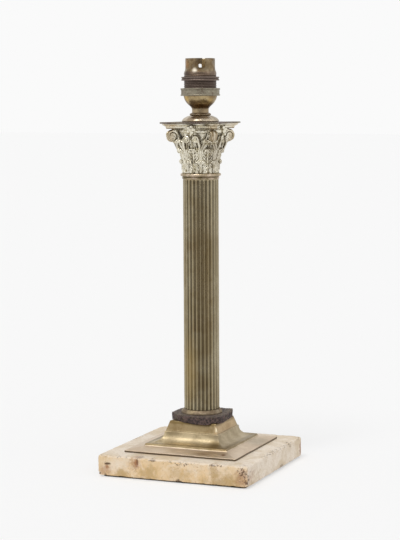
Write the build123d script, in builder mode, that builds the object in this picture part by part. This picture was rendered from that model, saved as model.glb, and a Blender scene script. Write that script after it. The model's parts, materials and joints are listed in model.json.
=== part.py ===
"""Brass column table lamp: stone base, stepped plinth, fluted column, leafed capital and bayonet lampholder.

The frame is +Z up, with the origin at the middle of the foot. The front of the lamp faces -Y.
All sizes are millimetres.
"""

import os
from math import copysign, cos, radians, sin, sqrt

from build123d import *

# ---------------------------------------------------------------- driving dimensions
STONE_SIDE = 138.0
STONE_TOP = 19.2
STONE_CORNER = 3.5  # worn upright corners
STONE_ARRIS = 1.2  # worn top edge
BAIZE_THICK = 1.5
BAIZE_INSET = 3.0

ROD_RADIUS = 5.0  # hollow threaded rod that holds the lamp together
ROD_BORE = 3.5
ROD_FOOT = 5.0
THREAD_GAP = 0.05
ROD_CLEARANCE = 0.3
CUT_PAST = 1.0  # how far a cutter runs on past what it cuts

RECESS_RADIUS = 17.0  # under the stone, for the nut
RECESS_TOP = 13.5
FLEX_HOLE_RADIUS = 3.5  # from the back of the stone into the recess
FLEX_HOLE_Z = 8.5
WASHER_RADIUS = 14.0
WASHER_THICK = 1.2
NUT_ACROSS_FLATS = 17.0
NUT_THICK = 5.0

PLINTH_HALF = 51.6
PLINTH_EDGE_TOP = 20.9
PLINTH_RIM_HALF = 38.2
PLINTH_RIM_TOP = 24.2
PLINTH_COVE_HALF = 37.6
PLINTH_COVE_FOOT = 25.4
PLINTH_COVE_MIDDLE = (30.3, 28.5)
PLINTH_LEDGE_HALF = 25.2
PLINTH_LEDGE_TOP = 34.7
BLOCK_FOOT_HALF = 24.3
BLOCK_TOP_HALF = 21.4
BLOCK_TOP = 43.5
PLINTH_WALL = 1.8

SPACER_ACROSS_FLATS = 50.2
SPACER_CORNER_HALF = 11.8  # half the length of each long side
SPACER_CORNER = 3.0
SPACER_TOP = 49.0

FOOT_RADIUS = 18.1
FOOT_EDGE = (17.7, 50.2)  # the top of the foot's upright edge, as (radius, height)
FOOT_NECK_RADIUS = 15.7
COLUMN_BOTTOM = 52.6
COLUMN_TOP = 253.1
COLUMN_RADIUS = 15.5
COLUMN_BORE = 13.4
FLUTES = 27
FLUTE_RADIUS = 1.45
FLUTE_DEPTH = 0.93
FLUTE_TOP = 250.8  # the flutes run out at the foot and end in arches here
FLUTE_ARCH = 1.5
FLUTE_TIP = 0.35
FLUTE_TURN = 3.3  # degrees, the first flute's place round the column
SPIGOT_LENGTH = 7.0
SPIGOT_GAP = 0.1

NECK_TOP = 259.4
BEAD_RADIUS = 17.7
BEAD_HALF_HEIGHT = 1.45
BEAD_FLAT = 0.6
BEAD_Z = 257.8
NECK_RADIUS = 15.9

CAPITAL_TOP = 302.1
ABACUS_BOTTOM = 297.4
ABACUS_STEP = 299.8
HORN_REACH = 34.9  # axis to the middle of a horn's end
HORN_WIDTH = 4.4
ABACUS_WAIST = 21.6  # axis to the middle of a hollow side
ABACUS_TAPER = 38  # degrees that its lower step leans in
LEAVES = 8
PLATE_HALF = 27.1
PLATE_CORNER = 0.6
PLATE_TOP = 303.3

BUN_TOP = 308.7
BUN_OUTLINE = [(15.65, PLATE_TOP), (16.15, 304.1), (15.05, 306.0), (13.25, 307.5), (10.25, BUN_TOP)]
LOCK_RING_TOP = 311.1
LOCK_RING_RADIUS = 9.3
LOCK_RING_FOOT_RADIUS = 8.5
LOCK_RING_HEAD_RADIUS = 7.7

HOLDER_TURN = 22.4  # degrees the lampholder is screwed round from the front
CAP_NECK_RADIUS = 7.25
CAP_DOME = [(CAP_NECK_RADIUS, 315.2), (9.1, 317.2), (12.6, 321.0), (14.6, 325.7)]
CAP_FLOOR = 319.0
CAP_FLOOR_RISE = 3.0  # the floor slopes up to the wall
ROD_HEAD = 318.6
CAP_RIM_RADIUS = 14.6
CAP_RIM_BORE = 13.4
CAP_RIM_TOP = 329.9
CAP_LEDGE_Z = 327.0
CAP_LEDGE_BORE = 11.4
CAP_RING_BOTTOM = 325.7
CAP_RING_TOP = 332.4
CAP_RING_RADIUS = 17.15
CAP_RING_WAIST = 16.7
CAP_RING_FOOT_RADIUS = 16.45
CAP_RING_LOWER_BEAD = (326.9, 327.5)  # where its lower bead is widest, and where the waist starts
CAP_RING_UPPER_BEAD = (330.8, 331.3)  # where the waist ends, and where its upper bead starts
RING_GAP = 0.15  # running clearance of a screwed ring

BARREL_FLANGE_TOP = 331.1
BARREL_THREAD_RADIUS = 14.1
BARREL_LOWER_BORE = 12.9
BARREL_FLARE_BOTTOM = 344.7
BARREL_FLARE_TOP = 349.6
BARREL_RADIUS = 12.9
SOCKET_RADIUS = 11.6
SOCKET_STEP = 1.4  # height over which the bore narrows to it
RIM_Z = 358.0
SLOT_WIDTH = 2.5
SLOT_HOOK_Z = 352.1  # where a bulb's pin rests
SLOT_FLOOR_Z = 349.9
SLOT_ENTRY = 3.1  # from the hook across to the way in

SHADE_RING_BOTTOM = 338.8
SHADE_RING_TOP = 342.1
SHADE_RING_RADIUS = 16.45
SHADE_RING_GROOVE = 0.9

INSULATOR_RADIUS = 12.6
INSULATOR_TOP = 342.5
INSULATOR_CHAMFER = 0.8
PLUNGER_OFFSET = 5.4
PLUNGER_RADIUS = 2.25
PLUNGER_TIP = 347.5
PLUNGER_TIP_CHAMFER = 0.6
PLUNGER_SHOULDER_RADIUS = 2.8
PLUNGER_SHOULDER_TOP = 340.9
PLUNGER_SHOULDER_BOTTOM = 339.3
PLUNGER_BORE = 3.1
PLUNGER_NECK_BORE = 2.45
PLUNGER_GAP = 0.1
TERMINAL_TOP = 329.5
TERMINAL_TAIL = 4.0
WIRE_HOLE_RADIUS = 0.9
WIRE_HOLE_Z = 324.8
TERMINAL_SCREW_RADIUS = 1.4
TERMINAL_SCREW_HEAD = 1.2
SPRING_RADIUS = 2.5
SPRING_WIRE = 0.6


def ring(outer, inner, bottom, top):
    """A plain ring between two heights."""
    with BuildPart() as body:
        with BuildSketch(Plane.XY.offset(bottom)):
            Circle(outer)
            Circle(inner, mode=Mode.SUBTRACT)
        extrude(amount=top - bottom)
    return body


def turned(points):
    """A turned solid, from its (radius, height) corners in order."""
    with BuildPart() as body:
        with BuildSketch(Plane.XZ):
            with BuildLine():
                Polyline(*points, close=True)
            make_face()
        revolve(axis=Axis.Z)
    return body


# ---------------------------------------------------------------- stone base and what is under it
with BuildPart() as baize_pad:
    baize_side = STONE_SIDE - 2 * BAIZE_INSET
    with BuildSketch():
        RectangleRounded(baize_side, baize_side, STONE_CORNER)
    extrude(amount=BAIZE_THICK)

with BuildPart() as stone_base:
    with BuildSketch(Plane.XY.offset(BAIZE_THICK)):
        RectangleRounded(STONE_SIDE, STONE_SIDE, STONE_CORNER)
    extrude(amount=STONE_TOP - BAIZE_THICK)
    chamfer(stone_base.faces().sort_by(Axis.Z)[-1].edges(), STONE_ARRIS)
    with BuildSketch(Plane.XY.offset(BAIZE_THICK)):
        Circle(RECESS_RADIUS)
    extrude(amount=RECESS_TOP - BAIZE_THICK, mode=Mode.SUBTRACT)
    with BuildSketch(Plane.XY.offset(RECESS_TOP)):
        Circle(ROD_RADIUS + ROD_CLEARANCE)
    extrude(amount=STONE_TOP - RECESS_TOP, mode=Mode.SUBTRACT)
    with BuildSketch(Plane.XZ.offset(-STONE_SIDE / 2)):
        with Locations((0, FLEX_HOLE_Z)):
            Circle(FLEX_HOLE_RADIUS)
    extrude(amount=STONE_SIDE / 2 - RECESS_RADIUS / 2, mode=Mode.SUBTRACT)

bottom_washer = ring(WASHER_RADIUS, ROD_RADIUS + ROD_CLEARANCE, RECESS_TOP - WASHER_THICK, RECESS_TOP)

with BuildPart() as bottom_nut:
    nut_top = RECESS_TOP - WASHER_THICK
    with BuildSketch(Plane.XY.offset(nut_top - NUT_THICK)):
        RegularPolygon(NUT_ACROSS_FLATS / 2, 6, major_radius=False)
        Circle(ROD_RADIUS + THREAD_GAP, mode=Mode.SUBTRACT)
    extrude(amount=NUT_THICK)

tie_rod = ring(ROD_RADIUS, ROD_BORE, ROD_FOOT, ROD_HEAD)


# ---------------------------------------------------------------- stepped plinth
def plinth_face(plane, inset):
    """One elevation of the plinth, drawn in by the wall thickness for the hollow inside."""
    foot = (PLINTH_HALF - inset, STONE_TOP)
    edge = (PLINTH_HALF - inset, PLINTH_EDGE_TOP - inset / 2)
    rim = (PLINTH_RIM_HALF - inset, PLINTH_RIM_TOP - inset)
    cove_foot = (PLINTH_COVE_HALF - inset, PLINTH_COVE_FOOT - inset)
    cove_middle = (PLINTH_COVE_MIDDLE[0] - inset, PLINTH_COVE_MIDDLE[1] - inset)
    ledge = (PLINTH_LEDGE_HALF - inset, PLINTH_LEDGE_TOP - inset)
    block_foot = (BLOCK_FOOT_HALF - inset, PLINTH_LEDGE_TOP - inset)
    block_top = (BLOCK_TOP_HALF - inset, BLOCK_TOP - inset)
    with BuildSketch(plane) as face:
        for side in (1, -1):
            with BuildLine():
                Polyline(*[(side * x, z) for x, z in ((0, STONE_TOP), foot, edge, rim, cove_foot)])
                ThreePointArc(*[(side * x, z) for x, z in (cove_foot, cove_middle, ledge)])
                Polyline(*[(side * x, z) for x, z in (ledge, block_foot, block_top)])
                Polyline((side * block_top[0], block_top[1]), (0, block_top[1]), (0, STONE_TOP))
            make_face()
    return face.sketch


def mitred(inset):
    """The plinth's mouldings run round a square and mitred at its corners."""
    with BuildPart() as block:
        extrude(plinth_face(Plane.XZ, inset), amount=PLINTH_HALF, both=True)
        extrude(plinth_face(Plane.YZ, inset), amount=PLINTH_HALF, both=True, mode=Mode.INTERSECT)
    return block.part


plinth_outside = mitred(0)
plinth_inside = mitred(PLINTH_WALL)
with BuildPart() as plinth:
    add(plinth_outside)
    add(plinth_inside, mode=Mode.SUBTRACT)
    with BuildSketch(Plane.XY.offset(STONE_TOP)):
        Circle(ROD_RADIUS + ROD_CLEARANCE)
    extrude(amount=BLOCK_TOP - STONE_TOP, mode=Mode.SUBTRACT)

with BuildPart() as spacer:
    spacer_half = SPACER_ACROSS_FLATS / 2
    with BuildSketch(Plane.XY.offset(BLOCK_TOP)):
        with BuildLine():
            corners = [(SPACER_CORNER_HALF, -spacer_half), (spacer_half, -SPACER_CORNER_HALF)]
            for quarter in range(3):
                corners += [(-y, x) for x, y in corners[-2:]]
            Polyline(*corners, close=True)
        make_face()
        fillet(vertices(), radius=SPACER_CORNER)
        Circle(ROD_RADIUS + ROD_CLEARANCE, mode=Mode.SUBTRACT)
    extrude(amount=SPACER_TOP - BLOCK_TOP)

# ---------------------------------------------------------------- fluted column between its foot and neck
column_foot = turned(
    [
        (ROD_RADIUS + ROD_CLEARANCE, SPACER_TOP),
        (FOOT_RADIUS, SPACER_TOP),
        FOOT_EDGE,
        (FOOT_NECK_RADIUS, COLUMN_BOTTOM),
        (COLUMN_BORE - SPIGOT_GAP, COLUMN_BOTTOM),
        (COLUMN_BORE - SPIGOT_GAP, COLUMN_BOTTOM + SPIGOT_LENGTH),
        (ROD_RADIUS + ROD_CLEARANCE, COLUMN_BOTTOM + SPIGOT_LENGTH),
    ]
)

with BuildPart() as column:
    add(ring(COLUMN_RADIUS, COLUMN_BORE, COLUMN_BOTTOM, COLUMN_TOP))
    flute_bottom = COLUMN_BOTTOM - CUT_PAST
    flute_length = FLUTE_TOP - flute_bottom
    flute_axis = COLUMN_RADIUS + FLUTE_RADIUS - FLUTE_DEPTH
    with Locations((0, 0, (FLUTE_TOP + flute_bottom) / 2)):
        with PolarLocations(flute_axis, FLUTES, start_angle=FLUTE_TURN):
            Cylinder(FLUTE_RADIUS, flute_length, mode=Mode.SUBTRACT)
            with Locations((0, 0, (flute_length + FLUTE_ARCH) / 2)):
                Cone(FLUTE_RADIUS, FLUTE_TIP, FLUTE_ARCH, mode=Mode.SUBTRACT)

neck_ring = turned(
    [
        (ROD_RADIUS + ROD_CLEARANCE, COLUMN_TOP - SPIGOT_LENGTH),
        (COLUMN_BORE - SPIGOT_GAP, COLUMN_TOP - SPIGOT_LENGTH),
        (COLUMN_BORE - SPIGOT_GAP, COLUMN_TOP),
        (NECK_RADIUS, COLUMN_TOP),
        (NECK_RADIUS, BEAD_Z - BEAD_HALF_HEIGHT),
        (BEAD_RADIUS, BEAD_Z - BEAD_FLAT),
        (BEAD_RADIUS, BEAD_Z + BEAD_FLAT),
        (NECK_RADIUS, BEAD_Z + BEAD_HALF_HEIGHT),
        (NECK_RADIUS, NECK_TOP),
        (ROD_RADIUS + ROD_CLEARANCE, NECK_TOP),
    ]
)

# ---------------------------------------------------------------- leafed capital
# a Corinthian capital: a bell with two rows of leaves, a scroll at each corner and smaller ones between
BELL_OUTLINE = [(14.6, NECK_TOP), (15.0, 270.0), (16.9, 283.0), (20.4, 295.0), (20.4, ABACUS_BOTTOM)]
BELL_BORE = 11.5

# a leaf in section, as (radius, height): up its front and over the tip that rolls forward
LOWER_LEAF_SECTION = [(15.6, NECK_TOP), (16.1, 266.4), (17.7, 268.8), (17.7, 270.2), (16.0, 271.2)]
UPPER_LEAF_SECTION = [
    (15.3, NECK_TOP),
    (16.3, 269.0),
    (18.2, 276.2),
    (20.8, 278.5),
    (20.8, 280.0),
    (18.7, 281.2),
]
LEAF_BACK = [(13.0, 268.0), (13.0, NECK_TOP)]
LEAF_HALF_WIDTH = 6.0
# half of a leaf's outline from its stalk to its tip, as (half width, height), with its lobes
LOWER_LEAF_EDGE = [(4.3, NECK_TOP), (5.6, 264.8), (4.7, 265.6), (5.1, 268.2), (3.8, 270.6), (1.6, 272.0)]
UPPER_LEAF_EDGE = [(3.4, NECK_TOP), (5.6, 273.2), (4.7, 274.0), (5.2, 276.8), (4.0, 280.0), (1.8, 281.8)]

# scrolls, as (out or sideways, height) in their own upright planes
CORNER_SCROLL_FOOT = (18.4, 280.5)
CORNER_SCROLL_SHOULDER = (20.8, 289.3)
CORNER_SCROLL_CENTRE = (26.9, 291.2)
CORNER_SCROLL_RADIUS = 4.5
CORNER_SCROLL_BAND = 1.7
CORNER_SCROLL_WIDTH = 5.0
CORNER_SCROLL_WIND = 0.62  # the share of its radius that the roll draws in over a full turn
SIDE_SCROLL_CENTRE = (3.1, 288.6)
SIDE_SCROLL_RADIUS = 2.5
SIDE_STALK = [(7.9, 281.0), (6.6, 281.0), (4.9, 286.6), (3.1, 291.1), (5.8, 289.2)]
SIDE_SCROLL_BACK = 15.5
SIDE_SCROLL_FRONT = 21.4
FLOWER_RADIUS = 3.1
FLOWER_Z = 297.0
FLOWER_FRONT = 24.2
FLOWER_STEM = 1.0


def facing(angle, distance=0.0):
    """The upright plane square to a direction round the column: its X is sideways, its Y is up."""
    out = Vector(cos(radians(angle)), sin(radians(angle)), 0)
    return Plane(origin=out * distance, x_dir=Vector(-out.Y, out.X, 0), z_dir=out)


def leaf(angle, section, half_outline):
    """A leaf in one direction round the bell: a strip bent to its section, cut to its lobed outline."""
    with BuildPart() as blade:
        with BuildSketch(facing(angle - 90)):
            with BuildLine():
                Polyline(*section, *LEAF_BACK, close=True)
            make_face()
        extrude(amount=LEAF_HALF_WIDTH, both=True)
        with BuildSketch(facing(angle)):
            with BuildLine():
                Polyline(*half_outline, *[(-x, z) for x, z in reversed(half_outline)], close=True)
            make_face()
        extrude(amount=HORN_REACH, mode=Mode.INTERSECT)
    return blade.part


def corner_scroll(angle):
    """A band that rises on a stalk, rolls over outwards and winds in, by half circles, to an eye.

    Its two edges run half the band's thickness inside and outside its middle line.
    """
    x, z = CORNER_SCROLL_CENTRE
    turn = CORNER_SCROLL_WIND * CORNER_SCROLL_RADIUS
    with BuildPart() as roll:
        with BuildSketch(facing(angle - 90)):
            with BuildLine():
                feet, eyes = [], []
                for edge in (CORNER_SCROLL_BAND / 2, -CORNER_SCROLL_BAND / 2):
                    outer = CORNER_SCROLL_RADIUS + edge
                    middle = outer - turn / 2
                    inner = outer - turn
                    foot = (CORNER_SCROLL_FOOT[0] - edge, CORNER_SCROLL_FOOT[1])
                    shoulder = (CORNER_SCROLL_SHOULDER[0] - edge, CORNER_SCROLL_SHOULDER[1])
                    rise = Line(foot, shoulder)
                    TangentArc(rise @ 1, (x, z + outer), tangent=rise % 1)
                    ThreePointArc((x, z + outer), (x + outer, z), (x, z - outer))
                    ThreePointArc((x, z - outer), (x - middle, z - turn / 2), (x, z + inner))
                    ThreePointArc((x, z + inner), (x + inner, z), (x, z - inner))
                    feet.append(foot)
                    eyes.append((x, z - inner))
                Line(*feet)
                Line(*eyes)
            make_face()
        extrude(amount=CORNER_SCROLL_WIDTH / 2, both=True)
    return roll.part


def side_scrolls(angle):
    """Two small rolls on leaning stalks that meet under a flower, in the middle of one side."""
    x, z = SIDE_SCROLL_CENTRE
    with BuildPart() as pair:
        with BuildSketch(facing(angle, SIDE_SCROLL_BACK)):
            with Locations((x, z), (-x, z)):
                Circle(SIDE_SCROLL_RADIUS)
            for side in (1, -1):
                with BuildLine():
                    Polyline(*[(side * u, v) for u, v in SIDE_STALK], close=True)
                make_face()
            with Locations((0, (FLOWER_Z + z) / 2)):
                Rectangle(2 * FLOWER_STEM, FLOWER_Z - z)
        extrude(amount=SIDE_SCROLL_FRONT - SIDE_SCROLL_BACK)
        with BuildSketch(facing(angle, SIDE_SCROLL_BACK)):
            with Locations((0, FLOWER_Z)):
                RegularPolygon(FLOWER_RADIUS, 8)
        extrude(amount=FLOWER_FRONT - SIDE_SCROLL_BACK)
    return pair.part


# the abacus has four hollow sides that meet in cut-off horns
HORN_MIDDLE = HORN_REACH / sqrt(2)
HORN_STEP = HORN_WIDTH / 2 / sqrt(2)
HORN_NEAR, HORN_FAR = HORN_MIDDLE - HORN_STEP, HORN_MIDDLE + HORN_STEP
with BuildLine() as abacus_side:
    ThreePointArc((-HORN_NEAR, -HORN_FAR), (0, -ABACUS_WAIST), (HORN_NEAR, -HORN_FAR))
    Line((HORN_NEAR, -HORN_FAR), (HORN_FAR, -HORN_NEAR))

with BuildPart() as abacus:
    with BuildSketch(Plane.XY.offset(ABACUS_STEP)) as abacus_outline:
        with BuildLine():
            for quarter in range(4):
                add(abacus_side.line.rotate(Axis.Z, 90 * quarter))
        make_face()
    extrude(amount=CAPITAL_TOP - ABACUS_STEP)
    extrude(abacus_outline.sketch, amount=ABACUS_STEP - ABACUS_BOTTOM, dir=(0, 0, -1), taper=ABACUS_TAPER)
    with BuildSketch(Plane.XY.offset(ABACUS_BOTTOM)):
        Circle(BELL_BORE)
    extrude(amount=CAPITAL_TOP - ABACUS_BOTTOM, mode=Mode.SUBTRACT)

with BuildPart() as capital:
    with BuildSketch(Plane.XZ):
        with BuildLine():
            Polyline(*BELL_OUTLINE, (BELL_BORE, ABACUS_BOTTOM), (BELL_BORE, NECK_TOP), close=True)
        make_face()
    revolve(axis=Axis.Z)
    add(abacus.part)
    for place in range(LEAVES):
        eighth = 360 / LEAVES * place
        add(leaf(eighth, UPPER_LEAF_SECTION, UPPER_LEAF_EDGE))
        add(leaf(eighth + 180 / LEAVES, LOWER_LEAF_SECTION, LOWER_LEAF_EDGE))
    for quarter in range(4):
        add(corner_scroll(90 * quarter + 45))
        add(side_scrolls(90 * quarter))

# ---------------------------------------------------------------- plate, turned cap and ring
with BuildPart() as top_plate:
    with BuildSketch(Plane.XY.offset(CAPITAL_TOP)):
        RectangleRounded(2 * PLATE_HALF, 2 * PLATE_HALF, PLATE_CORNER)
        Circle(ROD_RADIUS + ROD_CLEARANCE, mode=Mode.SUBTRACT)
    extrude(amount=PLATE_TOP - CAPITAL_TOP)

bun_cap = turned(
    [
        (ROD_RADIUS + THREAD_GAP, PLATE_TOP),
        *BUN_OUTLINE,
        (ROD_RADIUS + THREAD_GAP, BUN_TOP),
    ]
)

lock_middle = (BUN_TOP + LOCK_RING_TOP) / 2
lock_ring = turned(
    [
        (ROD_RADIUS + THREAD_GAP, BUN_TOP),
        (LOCK_RING_FOOT_RADIUS, BUN_TOP),
        (LOCK_RING_RADIUS, lock_middle),
        (LOCK_RING_HEAD_RADIUS, LOCK_RING_TOP),
        (ROD_RADIUS + THREAD_GAP, LOCK_RING_TOP),
    ]
)

# ---------------------------------------------------------------- lampholder
lampholder_cap = turned(
    [
        (ROD_RADIUS + THREAD_GAP, LOCK_RING_TOP),
        (CAP_NECK_RADIUS, LOCK_RING_TOP),
        *CAP_DOME,
        (CAP_RIM_RADIUS, CAP_RIM_TOP),
        (CAP_RIM_BORE, CAP_RIM_TOP),
        (CAP_RIM_BORE, CAP_LEDGE_Z),
        (CAP_LEDGE_BORE, CAP_LEDGE_Z),
        (CAP_LEDGE_BORE, CAP_FLOOR + CAP_FLOOR_RISE),
        (ROD_RADIUS + THREAD_GAP, CAP_FLOOR),
    ]
)

thread = CAP_RIM_RADIUS + RING_GAP
lip = BARREL_THREAD_RADIUS + RING_GAP
lip_bottom = BARREL_FLANGE_TOP + RING_GAP / 2
cap_ring = turned(
    [
        (thread, CAP_RING_BOTTOM),
        (CAP_RING_FOOT_RADIUS, CAP_RING_BOTTOM),
        (CAP_RING_RADIUS, CAP_RING_LOWER_BEAD[0]),
        (CAP_RING_WAIST, CAP_RING_LOWER_BEAD[1]),
        (CAP_RING_WAIST, CAP_RING_UPPER_BEAD[0]),
        (CAP_RING_RADIUS, CAP_RING_UPPER_BEAD[1]),
        (CAP_RING_RADIUS, CAP_RING_TOP),
        (lip, CAP_RING_TOP),
        (lip, lip_bottom),
        (thread, lip_bottom),
    ]
)

barrel_tube = turned(
    [
        (BARREL_LOWER_BORE, CAP_RIM_TOP),
        (CAP_RIM_RADIUS, CAP_RIM_TOP),
        (CAP_RIM_RADIUS, BARREL_FLANGE_TOP),
        (BARREL_THREAD_RADIUS, BARREL_FLANGE_TOP),
        (BARREL_THREAD_RADIUS, BARREL_FLARE_BOTTOM),
        (BARREL_RADIUS, BARREL_FLARE_TOP),
        (BARREL_RADIUS, RIM_Z),
        (SOCKET_RADIUS, RIM_Z),
        (SOCKET_RADIUS, BARREL_FLARE_TOP),
        (BARREL_LOWER_BORE, BARREL_FLARE_TOP - SOCKET_STEP),
    ]
)
with BuildPart() as barrel:
    add(barrel_tube)
    half_slot = SLOT_WIDTH / 2
    for turn in (-90, 90):
        # a bulb's pin comes down the way in, along the floor and up into the hook
        with BuildSketch(facing(turn + HOLDER_TURN)):
            with BuildLine():
                entry_floor = (SLOT_ENTRY, SLOT_FLOOR_Z + half_slot)
                hook_floor = (0, SLOT_FLOOR_Z + half_slot)
                Polyline((SLOT_ENTRY, RIM_Z + half_slot), entry_floor, hook_floor, (0, SLOT_HOOK_Z))
            trace(line_width=SLOT_WIDTH)
            with Locations((0, SLOT_HOOK_Z), hook_floor, entry_floor):
                Circle(half_slot)
        extrude(amount=BARREL_THREAD_RADIUS + CUT_PAST, mode=Mode.SUBTRACT)

shade_bore = BARREL_THREAD_RADIUS + RING_GAP
groove_z = (SHADE_RING_BOTTOM + SHADE_RING_TOP) / 2
shade_ring = turned(
    [
        (shade_bore, SHADE_RING_BOTTOM),
        (SHADE_RING_RADIUS, SHADE_RING_BOTTOM),
        (SHADE_RING_RADIUS - SHADE_RING_GROOVE, groove_z),
        (SHADE_RING_RADIUS, SHADE_RING_TOP),
        (shade_bore, SHADE_RING_TOP),
    ]
)

# the plungers lie on a line square to the slots' hooks
plunger_places = {
    side: Vector(
        sign * PLUNGER_OFFSET * cos(radians(HOLDER_TURN)),
        sign * PLUNGER_OFFSET * sin(radians(HOLDER_TURN)),
        0,
    )
    for side, sign in (("left", -1), ("right", 1))
}

with BuildPart() as insulator:
    with BuildSketch(Plane.XY.offset(CAP_LEDGE_Z)):
        Circle(INSULATOR_RADIUS)
    extrude(amount=INSULATOR_TOP - CAP_LEDGE_Z)
    chamfer(insulator.edges().sort_by(Axis.Z)[-1], INSULATOR_CHAMFER)
    with BuildSketch(Plane.XY.offset(CAP_LEDGE_Z)):
        with Locations(*plunger_places.values()):
            Circle(PLUNGER_BORE)
    extrude(amount=PLUNGER_SHOULDER_TOP + PLUNGER_GAP - CAP_LEDGE_Z, mode=Mode.SUBTRACT)
    with BuildSketch(Plane.XY.offset(CAP_LEDGE_Z)):
        with Locations(*plunger_places.values()):
            Circle(PLUNGER_NECK_BORE)
    extrude(amount=INSULATOR_TOP - CAP_LEDGE_Z, mode=Mode.SUBTRACT)


def plunger(place):
    """A contact pin with a rounded tip and the shoulder that its spring pushes on."""
    with BuildPart() as pin:
        with BuildSketch(Plane.XY.offset(PLUNGER_SHOULDER_BOTTOM)):
            with Locations(place):
                Circle(PLUNGER_SHOULDER_RADIUS)
        extrude(amount=PLUNGER_SHOULDER_TOP - PLUNGER_SHOULDER_BOTTOM)
        with BuildSketch(Plane.XY.offset(PLUNGER_SHOULDER_TOP)):
            with Locations(place):
                Circle(PLUNGER_RADIUS)
        extrude(amount=PLUNGER_TIP - PLUNGER_SHOULDER_TOP)
        chamfer(pin.edges().sort_by(Axis.Z)[-1], PLUNGER_TIP_CHAMFER)
    return pin


def spring(place):
    """The space that a plunger's spring fills, from its terminal up to the plunger's shoulder."""
    with BuildPart() as coil:
        with BuildSketch(Plane.XY.offset(TERMINAL_TOP)):
            with Locations(place):
                Circle(SPRING_RADIUS)
                Circle(SPRING_RADIUS - SPRING_WIRE, mode=Mode.SUBTRACT)
        extrude(amount=PLUNGER_SHOULDER_BOTTOM - TERMINAL_TOP)
    return coil


def terminal(place):
    """A brass terminal that plugs the foot of a plunger's bore, with a tail for the wire's screw."""
    with BuildPart() as block:
        with BuildSketch(Plane.XY.offset(CAP_LEDGE_Z)):
            with Locations(place):
                Circle(PLUNGER_BORE - PLUNGER_GAP)
        extrude(amount=TERMINAL_TOP - CAP_LEDGE_Z)
        with BuildSketch(Plane.XY.offset(CAP_LEDGE_Z)):
            with Locations(place):
                Rectangle(TERMINAL_TAIL, TERMINAL_TAIL, rotation=HOLDER_TURN)
        extrude(amount=-TERMINAL_TAIL)
        with BuildSketch(facing(HOLDER_TURN - 90, -TERMINAL_TAIL)):
            with Locations((copysign(PLUNGER_OFFSET, place.X), WIRE_HOLE_Z)):
                Circle(WIRE_HOLE_RADIUS)
        extrude(amount=2 * TERMINAL_TAIL, mode=Mode.SUBTRACT)
    return block


plunger_left = plunger(plunger_places["left"])
plunger_right = plunger(plunger_places["right"])
spring_left = spring(plunger_places["left"])
spring_right = spring(plunger_places["right"])
terminal_left = terminal(plunger_places["left"])
terminal_right = terminal(plunger_places["right"])

with BuildPart() as terminal_screws:
    with BuildSketch(Plane.XY.offset(CAP_LEDGE_Z - TERMINAL_TAIL)):
        with Locations(*plunger_places.values()):
            Circle(TERMINAL_SCREW_RADIUS)
    extrude(amount=-TERMINAL_SCREW_HEAD)

# ---------------------------------------------------------------- write every piece
pieces = {
    "baize_pad": baize_pad,
    "stone_base": stone_base,
    "bottom_washer": bottom_washer,
    "bottom_nut": bottom_nut,
    "tie_rod": tie_rod,
    "plinth": plinth,
    "spacer": spacer,
    "column_foot": column_foot,
    "column": column,
    "neck_ring": neck_ring,
    "capital": capital,
    "top_plate": top_plate,
    "bun_cap": bun_cap,
    "lock_ring": lock_ring,
    "lampholder_cap": lampholder_cap,
    "cap_ring": cap_ring,
    "barrel": barrel,
    "shade_ring": shade_ring,
    "insulator": insulator,
    "plunger_left": plunger_left,
    "plunger_right": plunger_right,
    "spring_left": spring_left,
    "spring_right": spring_right,
    "terminal_left": terminal_left,
    "terminal_right": terminal_right,
    "terminal_screws": terminal_screws,
}

os.makedirs("parts", exist_ok=True)
for name, piece in pieces.items():
    piece.part.label = name
    export_step(piece.part, f"parts/{name}.step")
    print(name, "solids", len(piece.part.solids()), "volume", round(piece.part.volume, 1))
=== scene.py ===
"""Dressed model of a brass column table lamp on a stone base.

Each visible piece is a surface worked out with numpy, with a procedural finish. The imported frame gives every
place and most sizes. Shapes are worked out in millimetres and written to Blender in metres. The front of the
lamp faces -Y.
"""

import json
from collections import namedtuple
from math import cos, pi, radians, sin, sqrt

import bmesh
import bpy
import numpy as np
from bpy.props import FloatProperty, FloatVectorProperty, IntProperty, PointerProperty
from mathutils import Matrix, Vector


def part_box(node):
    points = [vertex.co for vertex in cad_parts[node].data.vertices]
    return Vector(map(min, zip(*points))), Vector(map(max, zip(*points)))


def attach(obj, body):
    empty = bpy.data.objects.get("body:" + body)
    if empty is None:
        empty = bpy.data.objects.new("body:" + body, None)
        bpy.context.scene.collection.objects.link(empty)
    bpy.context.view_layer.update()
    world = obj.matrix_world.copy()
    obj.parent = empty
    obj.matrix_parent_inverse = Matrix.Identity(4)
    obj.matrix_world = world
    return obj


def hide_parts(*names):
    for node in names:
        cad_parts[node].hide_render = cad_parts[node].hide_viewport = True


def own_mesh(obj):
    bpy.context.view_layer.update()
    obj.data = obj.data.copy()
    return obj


bl_info = {
    "name": "Column Table Lamp",
    "version": (1, 0, 0),
    "blender": (4, 5, 0),
    "location": "3D View > Sidebar > Lamp",
    "description": "Builds the surfaces and finishes of a brass column lamp",
    "category": "Add Mesh",
}

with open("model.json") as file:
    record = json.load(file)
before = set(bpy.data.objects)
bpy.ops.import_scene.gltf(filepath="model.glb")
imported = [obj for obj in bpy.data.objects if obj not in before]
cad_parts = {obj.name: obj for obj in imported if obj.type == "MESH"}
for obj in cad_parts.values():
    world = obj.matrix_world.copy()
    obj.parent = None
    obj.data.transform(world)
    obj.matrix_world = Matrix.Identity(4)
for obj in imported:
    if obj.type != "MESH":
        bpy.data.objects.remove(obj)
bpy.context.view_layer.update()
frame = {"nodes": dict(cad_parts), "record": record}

MM = 0.001  # lengths are in millimetres, and a setting or a place in Blender is in metres
ROD_HOLE = 5.3  # clear of the tie rod
SCREWED_HOLE = 5.05  # of the pieces that are screwed on the tie rod
BODY = "lamp"
SHARP = 38.0  # degrees between faces, past which an edge is drawn sharp


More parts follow.
